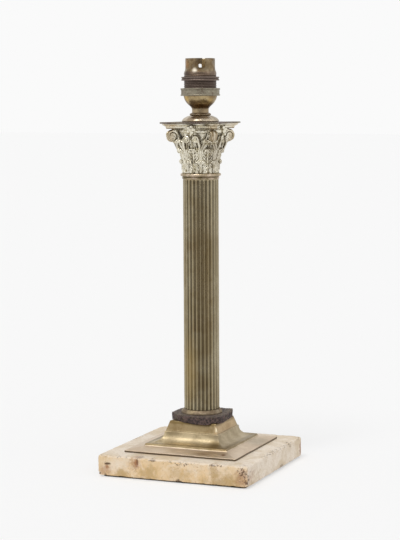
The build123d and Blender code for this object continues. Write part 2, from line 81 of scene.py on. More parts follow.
def srgb(red, green, blue):
    """A colour in the usual 0 to 255 numbers, as the linear red, green, blue and alpha that Blender keeps."""
    shares = (value / 255 for value in (red, green, blue))
    return tuple(((share + 0.055) / 1.055) ** 2.4 for share in shares) + (1.0,)


def span(node):
    """Lowest and highest corner of a CAD node, in millimetres."""
    low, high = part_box(node)
    return np.array(low) / MM, np.array(high) / MM


def bottom(node):
    return span(node)[0][2]


def top(node):
    return span(node)[1][2]


# ---------------------------------------------------------------- settings
def length(name, description, millimetres):
    return FloatProperty(
        name=name, description=description, default=millimetres * MM, min=0, unit="LENGTH", subtype="DISTANCE"
    )


def colour(name, description, *shade):
    return FloatVectorProperty(
        name=name, description=description, default=srgb(*shade), size=4, min=0, max=1, subtype="COLOR"
    )


def light_strength(name, description, value):
    return FloatProperty(name=name, description=description, default=value, min=0)


class LampStone(bpy.types.PropertyGroup):
    left_corner: length("Left corner", "Radius of the well worn left corner", 2.0)
    front_corner: length("Front corner", "Radius of the other upright corners", 2.2)
    arris: length("Arris", "Radius of the worn top edge", 1.3)
    chips: length("Chips", "Depth of the chips along the edges", 1.1)
    cream: colour("Cream", "The stone's main colour", 213, 194, 166)
    pale: colour("Pale", "The pinkish white clouds in the stone", 235, 222, 205)
    tan: colour("Tan", "The stain that the front has taken", 227, 193, 142)
    olive: colour("Olive", "The olive brown clouds", 176, 145, 90)
    rust: colour("Rust", "Iron stains", 150, 92, 46)
    dirt: colour("Dirt", "Dark dirt in chips and along the foot", 86, 57, 34)
    baize: colour("Baize", "The felt under the stone", 44, 42, 32)


class LampBrass(bpy.types.PropertyGroup):
    golden: colour("Golden", "Brass where it is rubbed bright", 206, 182, 138)
    aged: colour("Aged", "Brass with its ordinary brown tone", 168, 151, 120)
    brown: colour("Brown", "The brown tarnish", 128, 106, 78)
    olive: colour("Olive", "The greenish brown tarnish", 126, 114, 76)
    lilac: colour("Lilac", "The greyish lilac tarnish on flat sheet", 212, 193, 172)
    grey: colour("Grey", "The greenish grey bloom on the screwed rings", 146, 137, 120)
    # dirt in hollows, and also the colour of painted shade: plinth foot, column foot, under the top plate
    grime_and_shade: colour("Grime", "Dirt held in hollows", 58, 44, 26)
    silver: colour("Silver", "The pale cast metal of the capital", 240, 234, 216)
    dark: colour("Dark", "The dark purplish brown of the screwed parts", 110, 96, 89)


class LampShape(bpy.types.PropertyGroup):
    flutes: IntProperty(name="Flutes", description="Flutes round the column", default=27, min=8, max=60)
    flute_depth: length("Flute depth", "How deep the flutes are cut", 0.93)
    flute_radius: length("Flute radius", "Radius of the cutter that made the flutes", 1.45)
    leaf_relief: length("Leaf relief", "Depth of the veins of the capital's leaves", 0.85)
    thread_pitch: length("Thread pitch", "From one turn of the lampholder's thread to the next", 1.5)
    thread_depth: length("Thread depth", "Depth of the lampholder's thread", 0.4)
    spacer_sag: length("Spacer sag", "How far the spacer's overhanging rim droops", 1.5)


class LampStage(bpy.types.PropertyGroup):
    floor: colour("Floor", "The floor and the background", 250, 250, 250)
    key: light_strength("Key", "Strength of the main light", 1.25)
    fill: light_strength("Fill", "Strength of the fill light", 0.35)
    sky: light_strength("Sky", "Strength of the light from all round", 0.6)
    room: light_strength("Room", "How bright the room in front looks in the metal", 0.25)


GROUPS = {"lamp_stone": LampStone, "lamp_brass": LampBrass, "lamp_shape": LampShape, "lamp_stage": LampStage}

# ---------------------------------------------------------------- surfaces
Sheet = namedtuple("Sheet", "points worn close_rows close_columns")
HILL_HEIGHTS = 4096
LATTICE = np.array([7349, 1931, 8353])  # how far a step along each axis moves through the list of heights


def sheet(points, worn=0.5, close_rows=True, close_columns=True):
    """A grid of points, shape (rows, columns, 3), with how worn each is: 0 in a hollow, 1 on an arris."""
    return Sheet(points, np.broadcast_to(worn, points.shape[:2]), close_rows, close_columns)


def grid_faces(rows, columns, close_rows, close_columns):
    """The corner numbers of the four-sided faces between the points of a grid."""
    across = np.arange(rows if close_rows else rows - 1)[:, None]
    along = np.arange(columns if close_columns else columns - 1)[None, :]
    next_across = (across + 1) % rows
    next_along = (along + 1) % columns
    corners = [across * columns + along, across * columns + next_along]
    corners += [next_across * columns + next_along, next_across * columns + along]
    return np.stack([corner.ravel() for corner in corners], axis=1)


def signed_volume(points, faces):
    """The volume inside faces, positive where they point outwards: a . (b x c) / 6, summed over triangles."""
    a, b, c, d = (points[faces[:, k]] for k in range(4))
    return (np.einsum("ij,ij->i", a, np.cross(b, c)) + np.einsum("ij,ij->i", a, np.cross(c, d))).sum() / 6


def corners_and_faces(one):
    """The points of a closed sheet in one row, and its faces, turned to face outwards."""
    rows, columns = one.points.shape[:2]
    corners = one.points.reshape(-1, 3)
    quads = grid_faces(rows, columns, one.close_rows, one.close_columns)
    if signed_volume(corners - corners.mean(axis=0), quads) < 0:
        quads = quads[:, ::-1]
    return corners, quads


def build(name, sheets, slot, *replaces, body=BODY, sharp=SHARP):
    """One piece from its closed sheets, welded at their poles, in the finish of its slot."""
    points, faces, worn, first = [], [], [], 0
    for one in sheets:
        corners, quads = corners_and_faces(one)
        points.append(corners)
        faces.append(quads + first)
        worn.append(one.worn.ravel())
        first += len(corners)
    points = np.concatenate(points) * MM
    faces = np.concatenate(faces)
    mesh = bpy.data.meshes.new(name)
    mesh.vertices.add(len(points))
    mesh.vertices.foreach_set("co", points.ravel().astype(np.float32))
    mesh.loops.add(faces.size)
    mesh.loops.foreach_set("vertex_index", faces.ravel().astype(np.int32))
    mesh.polygons.add(len(faces))
    mesh.polygons.foreach_set("loop_start", np.arange(0, faces.size, 4, dtype=np.int32))
    mesh.update(calc_edges=True)
    record = mesh.attributes.new("worn", "FLOAT", "POINT")
    record.data.foreach_set("value", np.concatenate(worn).astype(np.float32))
    weld(mesh)
    mesh.shade_smooth()
    mesh.set_sharp_from_angle(angle=radians(sharp))
    mesh.materials.append(finish_of(slot))
    piece = bpy.data.objects.new(name, mesh)
    bpy.context.collection.objects.link(piece)
    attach(piece, body)
    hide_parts(*replaces)
    return piece


def weld(mesh):
    """Merges the points that meet at poles, and drops the faces that this leaves without area."""
    work = bmesh.new()
    work.from_mesh(mesh)
    bmesh.ops.remove_doubles(work, verts=work.verts, dist=2e-7)
    bmesh.ops.dissolve_degenerate(work, edges=work.edges, dist=1e-7)
    work.to_mesh(mesh)
    work.free()
    mesh.validate()


def hills(points, size, seed=0, octaves=1):
    """Smooth random hills about size across, between -1 and 1.

    Random heights stand on a cubic lattice, and the eased share 3t^2 - 2t^3 blends the eight round a point.
    Each further octave adds hills of half the size and half the height.
    """
    heights = np.random.default_rng(seed).uniform(-1, 1, HILL_HEIGHTS)
    total = np.zeros(points.shape[:-1])
    for octave in range(octaves):
        place = points * 2**octave / size + 31.7 * octave
        cell = np.floor(place).astype(np.int64)
        share = place - cell
        share = share * share * (3 - 2 * share)
        for corner in np.ndindex(2, 2, 2):
            key = (cell + corner) @ LATTICE % HILL_HEIGHTS
            weight = np.where(corner, share, 1 - share).prod(axis=-1)
            total += heights[key] * weight / 2**octave
    return total


def step(value, low, high):
    """0 below low, 1 above high, and eased between them."""
    share = np.clip((value - low) / (high - low), 0, 1)
    return share * share * (3 - 2 * share)


def round_angles(count, start=0.0):
    """Angles spaced evenly round a circle, in radians."""
    return start + np.arange(count) * 2 * pi / count


def softened(corners, radius, closed=True, steps=4):
    """An outline whose corners are turned into short curves, and how far each point stands out as an arris.

    Round a corner c the curve is (1-t)^2 a + 2t(1-t) c + t^2 b, from a on the side before it to b on the side
    after it. The second result is positive on an outward corner, negative on an inward one and 0 between.
    """
    corners = np.asarray(corners, float)
    before = np.roll(corners, 1, axis=0) - corners
    after = np.roll(corners, -1, axis=0) - corners
    before_length = np.linalg.norm(before, axis=1)
    after_length = np.linalg.norm(after, axis=1)
    cut = np.minimum(radius, 0.45 * np.minimum(before_length, after_length))
    if not closed:
        cut[[0, -1]] = 0
    a = corners + before * (cut / before_length)[:, None]
    b = corners + after * (cut / after_length)[:, None]
    t = np.linspace(0, 1, steps + 1)[None, :, None]
    curve = (1 - t) ** 2 * a[:, None] + 2 * t * (1 - t) * corners[:, None] + t**2 * b[:, None]
    turn = (-before[:, 0] * after[:, 1] + before[:, 1] * after[:, 0]) / (before_length * after_length)
    stands = 4 * t[..., 0] * (1 - t[..., 0]) * np.clip(turn, -1, 1)[:, None]
    if not closed:
        points = np.concatenate([corners[:1], curve[1:-1].reshape(-1, 2), corners[-1:]])
        return points, np.concatenate([[0], stands[1:-1].ravel(), [0]])
    return curve.reshape(-1, 2), stands.ravel()


def finely(points, values, spacing):
    """A closed outline with points added so that none are much further apart than spacing."""
    loop = np.vstack([points, points[:1]])
    loop_values = np.append(values, values[0])
    along = np.concatenate([[0], np.cumsum(np.linalg.norm(np.diff(loop, axis=0), axis=1))])
    count = int(along[-1] / spacing)
    extra = np.linspace(0, along[-1], count, endpoint=False)
    nearest = np.abs(extra[:, None] - along[None, :]).min(axis=1)
    places = np.sort(np.concatenate([along[:-1], extra[nearest > spacing / 3]]))
    outline = np.stack([np.interp(places, along, loop[:, axis]) for axis in range(loop.shape[1])], axis=1)
    return outline, np.interp(places, along, loop_values)


def outward(points):
    """The unit normals of a closed outline that runs anticlockwise, from its neighbours on each side."""
    ahead = np.roll(points, -1, axis=0) - np.roll(points, 1, axis=0)
    normal = np.stack([ahead[:, 1], -ahead[:, 0]], axis=1)
    return normal / np.maximum(np.linalg.norm(normal, axis=1, keepdims=True), 1e-9)


def polar(radius, angle, height):
    """Points from their distance to the Z axis, their angle round it and their height."""
    radius, angle, height = np.broadcast_arrays(radius, angle, height)
    return np.stack([radius * np.cos(angle), radius * np.sin(angle), height], axis=-1)


def raised(plan, height):
    """Rows of points in plan, with each row at its own height."""
    return np.concatenate([plan, np.broadcast_to(height[:, None, None], plan.shape[:2] + (1,))], axis=-1)


def capped(path, rings):
    """The rings of a tube carried along a path, closed by a point at each end."""
    return np.concatenate([path[:1, None] + 0 * rings[:1], rings, path[-1:, None] + 0 * rings[:1]])


def turned(outline, stands, columns=96, wobble=0.0, seed=1):
    """A turned ring: the closed outline of (radius, height) carried round the Z axis.

    Wobble moves each point in and out by that many millimetres at most, in hills 9 mm across.
    """
    angle = round_angles(columns)
    points = polar(outline[:, 0:1], angle, outline[:, 1:2])
    points[..., :2] += (wobble * hills(points, 9.0, seed))[..., None] * polar(1, angle, 0)[:, :2]
    return sheet(points, 0.5 + 0.5 * stands[:, None])


def turning(name, corners, radii, slot, node, columns, wobble, seed, steps=4, body=BODY):
    """A turned piece, from the corners of its outline and how far each is rounded."""
    ring = turned(*softened(corners, radii, steps=steps), columns, wobble, seed)
    build(name, [ring], slot, node, body=body)


def square_ring(side_steps, corner_steps):
    """Where points run round a square: c, from -1 to 1 each way, and the outward normal n there.

    A square of half side h with corners of radius r has its points at (h - r) c + r n.
    """
    along = np.linspace(-1, 1, side_steps + 1)[1:-1]
    turn = np.linspace(-pi / 4, pi / 4, corner_steps + 1)
    centre, normal = [], []
    for quarter in range(4):
        back = quarter * pi / 2
        rotation = np.array([[cos(back), sin(back)], [-sin(back), cos(back)]])
        side = np.stack([np.ones_like(along), along], axis=1)
        corner = np.ones((len(turn), 2))
        centre.append(np.concatenate([side, corner]) @ rotation)
        facing_side = np.stack([np.ones_like(along), 0 * along], axis=1)
        facing_corner = np.stack([np.cos(turn + pi / 4), np.sin(turn + pi / 4)], axis=1)
        normal.append(np.concatenate([facing_side, facing_corner]) @ rotation)
    return np.concatenate(centre), np.concatenate(normal)


def squared(outline, roundness, radius, side_steps, corner_steps):
    """A moulding carried round a square, from its outline of (half side, height).

    Where roundness is 1 the ring is a circle instead, for the holes in the middle. The radius of the upright
    corners is one number, or one for each point of the ring.
    """
    centre, normal = square_ring(side_steps, corner_steps)
    half = outline[:, 0][:, None, None]
    radius = np.minimum(np.broadcast_to(radius, len(centre))[None, :, None], half)
    square = (half - radius) * centre[None] + radius * normal[None]
    circle = half * (centre / np.linalg.norm(centre, axis=1, keepdims=True))[None]
    share = np.asarray(roundness, float)[:, None, None]
    return raised((1 - share) * square + share * circle, outline[:, 1]), normal


def placed(outward_mm, sideways, height, angle):
    """Points given as out from the axis, sideways and up, in the direction of angle."""
    out = np.array([cos(angle), sin(angle), 0])
    side = np.array([-sin(angle), cos(angle), 0])
    up = np.array([0, 0, 1])
    outward_mm, sideways, height = np.broadcast_arrays(outward_mm, sideways, height)
    return outward_mm[..., None] * out + sideways[..., None] * side + height[..., None] * up


# ---------------------------------------------------------------- finishes
class Signal:
    """A number that varies over a surface, so that a sum of them is written as a sum."""

    def __init__(self, shader, socket):
        self.shader = shader
        self.socket = socket

    def math(self, operation, first, second):
        return self.shader.node("ShaderNodeMath", {"operation": operation}, {0: first, 1: second})

    def __add__(self, other):
        return self.math("ADD", self, other)

    def __sub__(self, other):
        return self.math("SUBTRACT", self, other)

    def __rsub__(self, other):
        return self.math("SUBTRACT", other, self)

    def __mul__(self, other):
        return self.math("MULTIPLY", self, other)

    def __abs__(self):
        return self.math("ABSOLUTE", self, 0)

    def at_most(self, limit):
        return self.math("MINIMUM", self, limit)

    __radd__ = __add__
    __rmul__ = __mul__


class Shader:
    """One material, or the world: its nodes, and the patterns that the finishes share."""

    def __init__(self, name, world=False):
        self.owner = (bpy.data.worlds if world else bpy.data.materials).new(name)
        self.owner.use_nodes = True
        self.tree = self.owner.node_tree
        self.tree.nodes.clear()
        self.place = self.node("ShaderNodeTexCoord", output="Generated" if world else "Object")

    def node(self, kind, settings=None, values=None, output=0):
        """A node of that kind, with its settings made first and then its sockets filled or linked."""
        node = self.tree.nodes.new(kind)
        for setting, value in (settings or {}).items():
            setattr(node, setting, value)
        for key, value in (values or {}).items():
            if isinstance(value, Signal):
                self.tree.links.new(value.socket, node.inputs[key])
            else:
                node.inputs[key].default_value = value
        return Signal(self, node.outputs[output])

    def vector(self, operation, *inputs, output="Vector"):
        """Vector maths on one or two inputs."""
        return self.node("ShaderNodeVectorMath", {"operation": operation}, dict(enumerate(inputs)), output)

    def mapping(self, shift, stretch):
        """The place on the lamp, drawn out by stretch and then moved by shift."""
        values = {"Vector": self.place, "Location": shift, "Scale": stretch}
        return self.node("ShaderNodeMapping", None, values)

    def noise(self, across, detail=2.0, rough=0.55, distortion=0.0, stretch=(1, 1, 1), seed=0):
        """Random clouds about across millimetres wide, from 0 to 1, drawn out by stretch."""
        place = self.mapping((0.37 * seed, 0.19 * seed, 0.53 * seed), stretch)
        values = {"Vector": place, "Scale": 1 / (across * MM), "Detail": detail, "Roughness": rough}
        return self.node("ShaderNodeTexNoise", None, {**values, "Distortion": distortion})

    def step(self, value, low, high):
        """0 below low, 1 above high, and eased between them."""
        values = {"Value": value, "From Min": low, "From Max": high}
        return self.node("ShaderNodeMapRange", {"interpolation_type": "SMOOTHSTEP"}, values)

    def mix(self, share, first, second):
        """The first colour where share is 0, and the second where it is 1."""
        values = {0: share, 6: first, 7: second}
        return self.node("ShaderNodeMix", {"data_type": "RGBA"}, values, output=2)

    def worn(self):
        """The piece's own record of its hollows, 0, and its arrises, 1."""
        return self.node("ShaderNodeAttribute", {"attribute_name": "worn"}, output="Fac")

    def along(self, axis):
        """The place along one axis of the lamp, in millimetres."""
        return self.node("ShaderNodeSeparateXYZ", None, {0: self.place}, output=axis) * (1 / MM)

    def near(self, centre, reach, stretch=(1, 1, 1), ragged=0.5, soft=0.85):
        """1 at a place on the lamp, given in millimetres, fading to 0 at reach, which stretch shortens."""
        shift = tuple(-value * MM * scale for value, scale in zip(centre, stretch))
        distance = self.vector("LENGTH", self.mapping(shift, stretch), output="Value")
        edge = distance * (1 / (reach * MM)) + (self.noise(max(reach * 0.4, 1), 4, 0.7) - 0.5) * ragged
        return 1 - self.step(edge, 1 - soft, 1.0)

    def bump(self, height, strength, distance):
        values = {"Height": height, "Strength": strength, "Distance": distance * MM}
        return self.node("ShaderNodeBump", None, values)

    def finish(self, **values):
        """The surface itself, from the named sockets of the Principled shader."""
        named = {key.replace("_", " "): value for key, value in values.items()}
        surface = self.node("ShaderNodeBsdfPrincipled", None, named)
        return self.output(surface)

    def output(self, surface, kind="ShaderNodeOutputMaterial"):
        out = self.tree.nodes.new(kind)
        self.tree.links.new(surface.socket, out.inputs["Surface"])
        return self.owner


def aged_brass(
    name, tones, blotch=12.0, clean=0.5, rough=0.3, hollows=0.0, marks=(), metal=1.0, mottle=0.0, grime_and_shade=None
):
    """Old brass: bright metal that shows through duller tarnish in clouds, with stains and dirty hollows.

    Tones are the bright, the dull and the stained colour, blotch the size of the clouds in millimetres, clean
    the share of bright metal, rough the roughness of the clean parts, and hollows how far the piece's worn
    attribute counts: 0 leaves it out, and 1 fills each hollow with grime. Marks are (mask, share, colour),
    where the mask is worked out from the shader; besides stains they include painted shade, shadow,
    highlights and reflections. Metal is how metallic the clean parts are, and mottle adds small dark spots.
    """
    bright, dull, stain = tones
    shader = Shader(name)
    grime_and_shade = grime_and_shade or bpy.context.scene.lamp_brass.grime_and_shade
    clouds = shader.noise(blotch, 3, 0.6, 0.4)
    specks = shader.noise(blotch / 8, 3, 0.65, seed=1)
    scratches = shader.noise(0.5, 2, 0.6, stretch=(1, 1, 0.35))
    tarnish = shader.step(clouds * 0.7 + specks * 0.3, clean - 0.12, clean + 0.12)
    tone = shader.mix(tarnish, bright, dull)
    tone = shader.mix(shader.step(shader.noise(blotch * 1.4, 3, 0.6, seed=2), 0.5, 0.68) * 0.75, tone, stain)
    tone = shader.mix(shader.step(specks, 0.56, 0.78) * (0.25 + mottle), tone, grime_and_shade)
    metallic = metal
    gloss = rough + tarnish * 0.16 + scratches * 0.1
    if hollows:
        height = shader.worn() + (specks - 0.5) * 0.3
        dirt = (1 - shader.step(height, 0.04, 0.5)) * hollows
        rubbed = shader.step(height, 0.62, 1.0) * 0.5
        tone = shader.mix(rubbed, tone, bright)
        tone = shader.mix(dirt, tone, grime_and_shade)
        metallic = metal - dirt * 0.5
        gloss = gloss + dirt * 0.25 - rubbed * 0.08
    for mask, share, shade in marks:
        tone = shader.mix(mask(shader) * share, tone, shade)
    relief = scratches * 0.5 + specks * 0.8 + clouds * 0.6
    return shader.finish(
        Base_Color=tone, Metallic=metallic, Roughness=gloss, Normal=shader.bump(relief, 0.35, 0.18)
    )


def spot(centre, reach, stretch=(1, 1, 1)):
    """A mark's mask: a round or drawn out spot."""
    return lambda shader: shader.near(centre, reach, stretch)


def patch(low, high, soft=1.0):
    """A mark's mask: everything between two corners, with soft ragged edges; None leaves a side open."""

    def mask(shader):
        shift = (shader.noise(5, 3, seed=3) - 0.5) * 2 * soft
        total = 1.0
        for axis, start, end in zip("XYZ", low, high):
            if start is None and end is None:
                continue
            place = shader.along(axis) + shift
            if start is not None:
                total = shader.step(place, start - soft, start + soft) * total
            if end is not None:
                total = (1 - shader.step(place, end - soft, end + soft)) * total
        return total

    return mask


def layer(low, high, soft=1.0):
    """A mark's mask: everything between two heights."""
    return patch((None, None, low), (None, None, high), soft)


def far_out(reach, low):
    """A mark's mask: what is further from the axis than reach and higher than low."""

    def mask(shader):
        flat = shader.vector("MULTIPLY", shader.place, (1, 1, 0))
        out = shader.vector("LENGTH", flat, output="Value") * (1 / MM)
        return shader.step(out, reach - 2, reach + 2) * shader.step(shader.along("Z"), low - 1.5, low + 1.5)

    return mask


def stone_finish():
    """Cream alabaster: pinkish white clouds, olive clouds, a tan stain on its front, rust, and dirty chips.

    A chip shows where fine noise is high, and near a listed place it shows where the noise is lower too.
    """
    stone = bpy.context.scene.lamp_stone
    shader = Shader("stone")
    clouds = shader.noise(30, 4, 0.6, 0.6)
    grain = shader.noise(2.6, 4, 0.7)
    tone = shader.mix(shader.step(clouds + (grain - 0.5) * 0.3, 0.4, 0.62), stone.cream, stone.pale)
    front = shader.step(shader.along("Y") * -1.0 + (grain - 0.5) * 2, 66.5, 69.0)
    face = shader.step(shader.noise(16, 4, 0.6, 0.5, seed=4) + clouds * 0.4, 0.5, 0.78)
    tone = shader.mix(front * (0.95 - face * 0.45), tone, stone.tan)
    veins = shader.noise(22, 5, 0.62, 1.4, stretch=(1, 1, 1.7), seed=5) - 0.5
    line = (1 - shader.step(abs(veins), 0.0, 0.03)) * shader.step(clouds, 0.45, 0.62)
    tone = shader.mix(line * 0.3, tone, stone.olive)
    olive = shader.step(shader.noise(8, 5, 0.7, 0.8, seed=6), 0.5, 0.66)
    tone = shader.mix(olive * (0.12 + front * 0.3), tone, stone.olive)
    pale = shader.step(shader.noise(6, 5, 0.7, 0.8, seed=9), 0.5, 0.64)
    tone = shader.mix(pale * 0.4, tone, stone.pale)
    for centre, reach, stretch, share, shade in STONE_MARKS:
        mark = shader.near(centre, reach, stretch, 2.2, 0.85 if reach > 5 else 0.5) * share
        tone = shader.mix(mark, tone, getattr(stone, shade))
    specks = shader.step(shader.noise(1.3, 3, 0.6, seed=8), 0.6, 0.68) * shader.step(clouds, 0.42, 0.6)
    tone = shader.mix(specks * (0.3 + front * 0.3), tone, stone.rust)
    chips = shader.noise(1.6, 4, 0.65, 0.3, seed=7)
    busy = 0.0
    for centre, reach, stretch in STONE_CHIPS:
        busy = shader.near(centre, reach, stretch, 0.8) * 0.2 + busy
    dirt = shader.step(chips + busy.at_most(0.2), 0.7, 0.76)
    tone = shader.mix(dirt * 0.85, tone, stone.dirt)
    height = shader.worn() + (grain - 0.5) * 0.4
    tone = shader.mix(shader.step(height, 0.78, 0.96) * 0.6, tone, stone.pale)
    hollow = 1 - shader.step(height, 0.02, 0.3)
    tone = shader.mix(hollow * 0.6, tone, stone.dirt)
    relief = clouds * 0.3 + grain * 0.8 - dirt * 0.8 + shader.noise(0.7, 3) * 0.3
    return shader.finish(
        Base_Color=tone, Roughness=0.4 + grain * 0.25, Normal=shader.bump(relief, 0.35, 0.3)
    )


def felt_finish():
    """Worn baize: short crossed fibres, rubbed paler in clouds."""
    stone = bpy.context.scene.lamp_stone
    shader = Shader("baize")
    fibres = shader.noise(0.35, 4, 0.7, 2.0)
    rubbed = shader.step(shader.noise(12, 3), 0.45, 0.7) * 0.35
    tone = shader.mix(rubbed + (fibres - 0.5) * 0.5, stone.baize, stone.olive)
    return shader.finish(
        Base_Color=tone, Roughness=0.95, Normal=shader.bump(fibres, 0.8, 0.3), Sheen_Weight=0.25
    )


def spacer_finish():
    """Perished rubber: dark purplish brown, pitted, with dust on its upper side and smears of verdigris."""
    brass = bpy.context.scene.lamp_brass
    shader = Shader("spacer_rubber")
    lumps = shader.noise(2.2, 5, 0.7)
    pits = shader.noise(0.7, 3, 0.7, seed=1)
    tone = shader.mix(shader.step(lumps, 0.42, 0.6), srgb(46, 34, 34), srgb(106, 85, 80))
    tone = shader.mix(shader.step(pits, 0.5, 0.66) * 0.75, tone, srgb(28, 20, 19))
    tone = shader.mix(shader.step(shader.noise(7, 3, seed=2), 0.52, 0.7) * 0.2, tone, brass.olive)
    dust = shader.step(shader.along("Z") + (lumps - 0.5) * 3, 48.4, 49.6) * 0.5
    tone = shader.mix(dust, tone, srgb(132, 120, 104))
    return shader.finish(
        Base_Color=tone, Roughness=0.55 + lumps * 0.3, Normal=shader.bump(lumps + pits * 0.7, 1.0, 0.9)
    )


def porcelain_finish():
    """Glazed porcelain with a film of dust and a few brown specks."""
    shader = Shader("porcelain")
    dust = shader.noise(4, 4, 0.6)
    tone = shader.mix(shader.step(dust, 0.4, 0.7) * 0.5, srgb(236, 230, 216), srgb(190, 176, 152))
    tone = shader.mix(shader.step(shader.noise(0.7, 2), 0.7, 0.78), tone, srgb(96, 76, 50))
    return shader.finish(
        Base_Color=tone, Roughness=0.22 + dust * 0.3, Normal=shader.bump(dust, 0.2, 0.1)
    )


def steel_finish():
    """Grey steel with a bloom of rust."""
    shader = Shader("steel")
    bloom = shader.noise(3, 4, 0.65)
    tone = shader.mix(shader.step(bloom, 0.5, 0.68), srgb(150, 148, 144), srgb(112, 74, 46))
    return shader.finish(
        Base_Color=tone, Metallic=0.9 - bloom * 0.3, Roughness=0.35 + bloom * 0.3,
        Normal=shader.bump(bloom, 0.3, 0.15),
    )


def brass_marks(brass):
    """Larger stains, bright spots and painted light and shade of each slot's brass: a mark's mask, share and
    colour.
    """
    rust = srgb(120, 72, 36)
    smear_and_shadow = srgb(112, 92, 54)
    return {
        "plinth_brass": [
            (layer(18, 24.0), 0.75, brass.lilac),
            # painted light and shade by face: the cove's right face greyer, the die's front darker, the die's
            # right face golden
            (patch((22, None, 24.8), (None, None, 36)), 0.6, srgb(164, 150, 124)),
            (patch((None, None, 35.2), (20.5, -18, 44)), 0.6, srgb(126, 102, 62)),
            (patch((21, None, 34.9), (None, 21, 44)), 0.6, srgb(176, 146, 106)),
            # painted shadow: a dark band round the top of the die, under the spacer's drooping rim
            (layer(41.2, 44, 1.2), 0.7, smear_and_shadow),
            (spot((24, -33, 27), 9.0, (1, 0.6, 1.8)), 0.85, smear_and_shadow),
            # painted shade: a dark band along the plinth's foot, where it sits on the stone
            (layer(18, 20.6, 0.2), 0.75, brass.grime_and_shade),
            (layer(24.0, 25.6, 0.25), 0.6, smear_and_shadow),
            # painted highlight: a near-white streak down the die's front corner
            (spot((22.8, -22.8, 38.6), 5, (3.6, 3.6, 0.9)), 0.95, srgb(250, 238, 206)),
            (spot((32, -39, 24), 10, (0.7, 1, 1.2)), 0.4, srgb(140, 114, 78)),
            (spot((38, -45, 22.6), 3.2), 0.9, rust),
            (spot((20, -46, 22.5), 5, (0.4, 1, 1)), 0.35, rust),
            (spot((45, 20, 21.5), 16, (1, 0.7, 1)), 0.5, srgb(150, 140, 118)),
        ],
        "column_brass": [
            # painted reflections: the column's left and right sides lighter, where the metal mirrors the
            # bright surround
            (patch((None, None, 50), (-9.5, None, 256), 2.5), 0.42, srgb(166, 155, 128)),
            (patch((13, None, 50), (None, None, 256), 1.5), 0.3, srgb(170, 160, 136)),
            # painted reflection: the column's middle darker down its front, where it mirrors the dim room in
            # front
            (spot((5, -15, 185), 70, (6, 3, 1)), 0.45, srgb(104, 84, 48)),
            (spot((11.4, -10.5, 150), 100, (13, 13, 1)), 0.4, srgb(112, 92, 56)),
            # painted shadow: a dark line round the foot of the column, where it meets the collar
            (layer(50, 53.3, 0.3), 0.6, brass.grime_and_shade),
            (spot((-6, -14, 88), 40, (3.4, 3, 1)), 0.4, srgb(172, 146, 90)),
        ],
        "capital_brass": [
            (far_out(26.0, 284), 0.36, srgb(176, 146, 98)),
            # painted shade: dark spots on the abacus under the overhanging top plate, mid front and towards
            # the front right horn
            (spot((0, -22.5, 302), 9, (1, 1, 4.5)), 0.9, brass.grime_and_shade),
            (spot((14, -25, 301.5), 6, (1, 1, 2)), 0.8, brass.grime_and_shade),
            # painted shade: the capital's right side darkened brown
            (patch((12, None, 262), (None, None, 290), 3), 0.3, brass.brown),
        ],
        "holder_brass": [
            (layer(315.2, 318.6, 0.6), 0.8, srgb(84, 54, 22)),
            (layer(310, 315.4, 0.3), 0.5, srgb(150, 132, 108)),
            (spot((-9, -12, 323), 5), 0.7, srgb(206, 172, 98)),
            (spot((12, -6, 320), 6), 0.5, srgb(206, 174, 112)),
        ],
        "barrel_brass": [
            (spot((-9, -9.5, 353), 6), 0.7, srgb(154, 112, 64)),
            (spot((3.4, -12.4, 355), 4.5, (1, 1, 1.5)), 0.6, srgb(82, 60, 36)),
            (spot((-11, -8, 347), 4.5), 0.65, srgb(168, 164, 144)),
            (spot((-1, -12, 352), 5), 0.5, srgb(104, 82, 52)),
            (spot((11, -8, 351), 7.5), 0.6, srgb(128, 112, 86)),
            # painted highlight: a near-white spot on the barrel's flare
            (spot((0.2, -13.4, 347.6), 3.2), 0.9, srgb(250, 240, 220)),
            (layer(342, 346.4, 0.8), 0.6, srgb(124, 106, 96)),
            # painted reflection: a dark streak at the left of the flare's foot
            (spot((-7, -11, 345), 5, (0.6, 1, 1.6)), 0.8, srgb(70, 56, 48)),
        ],
    }


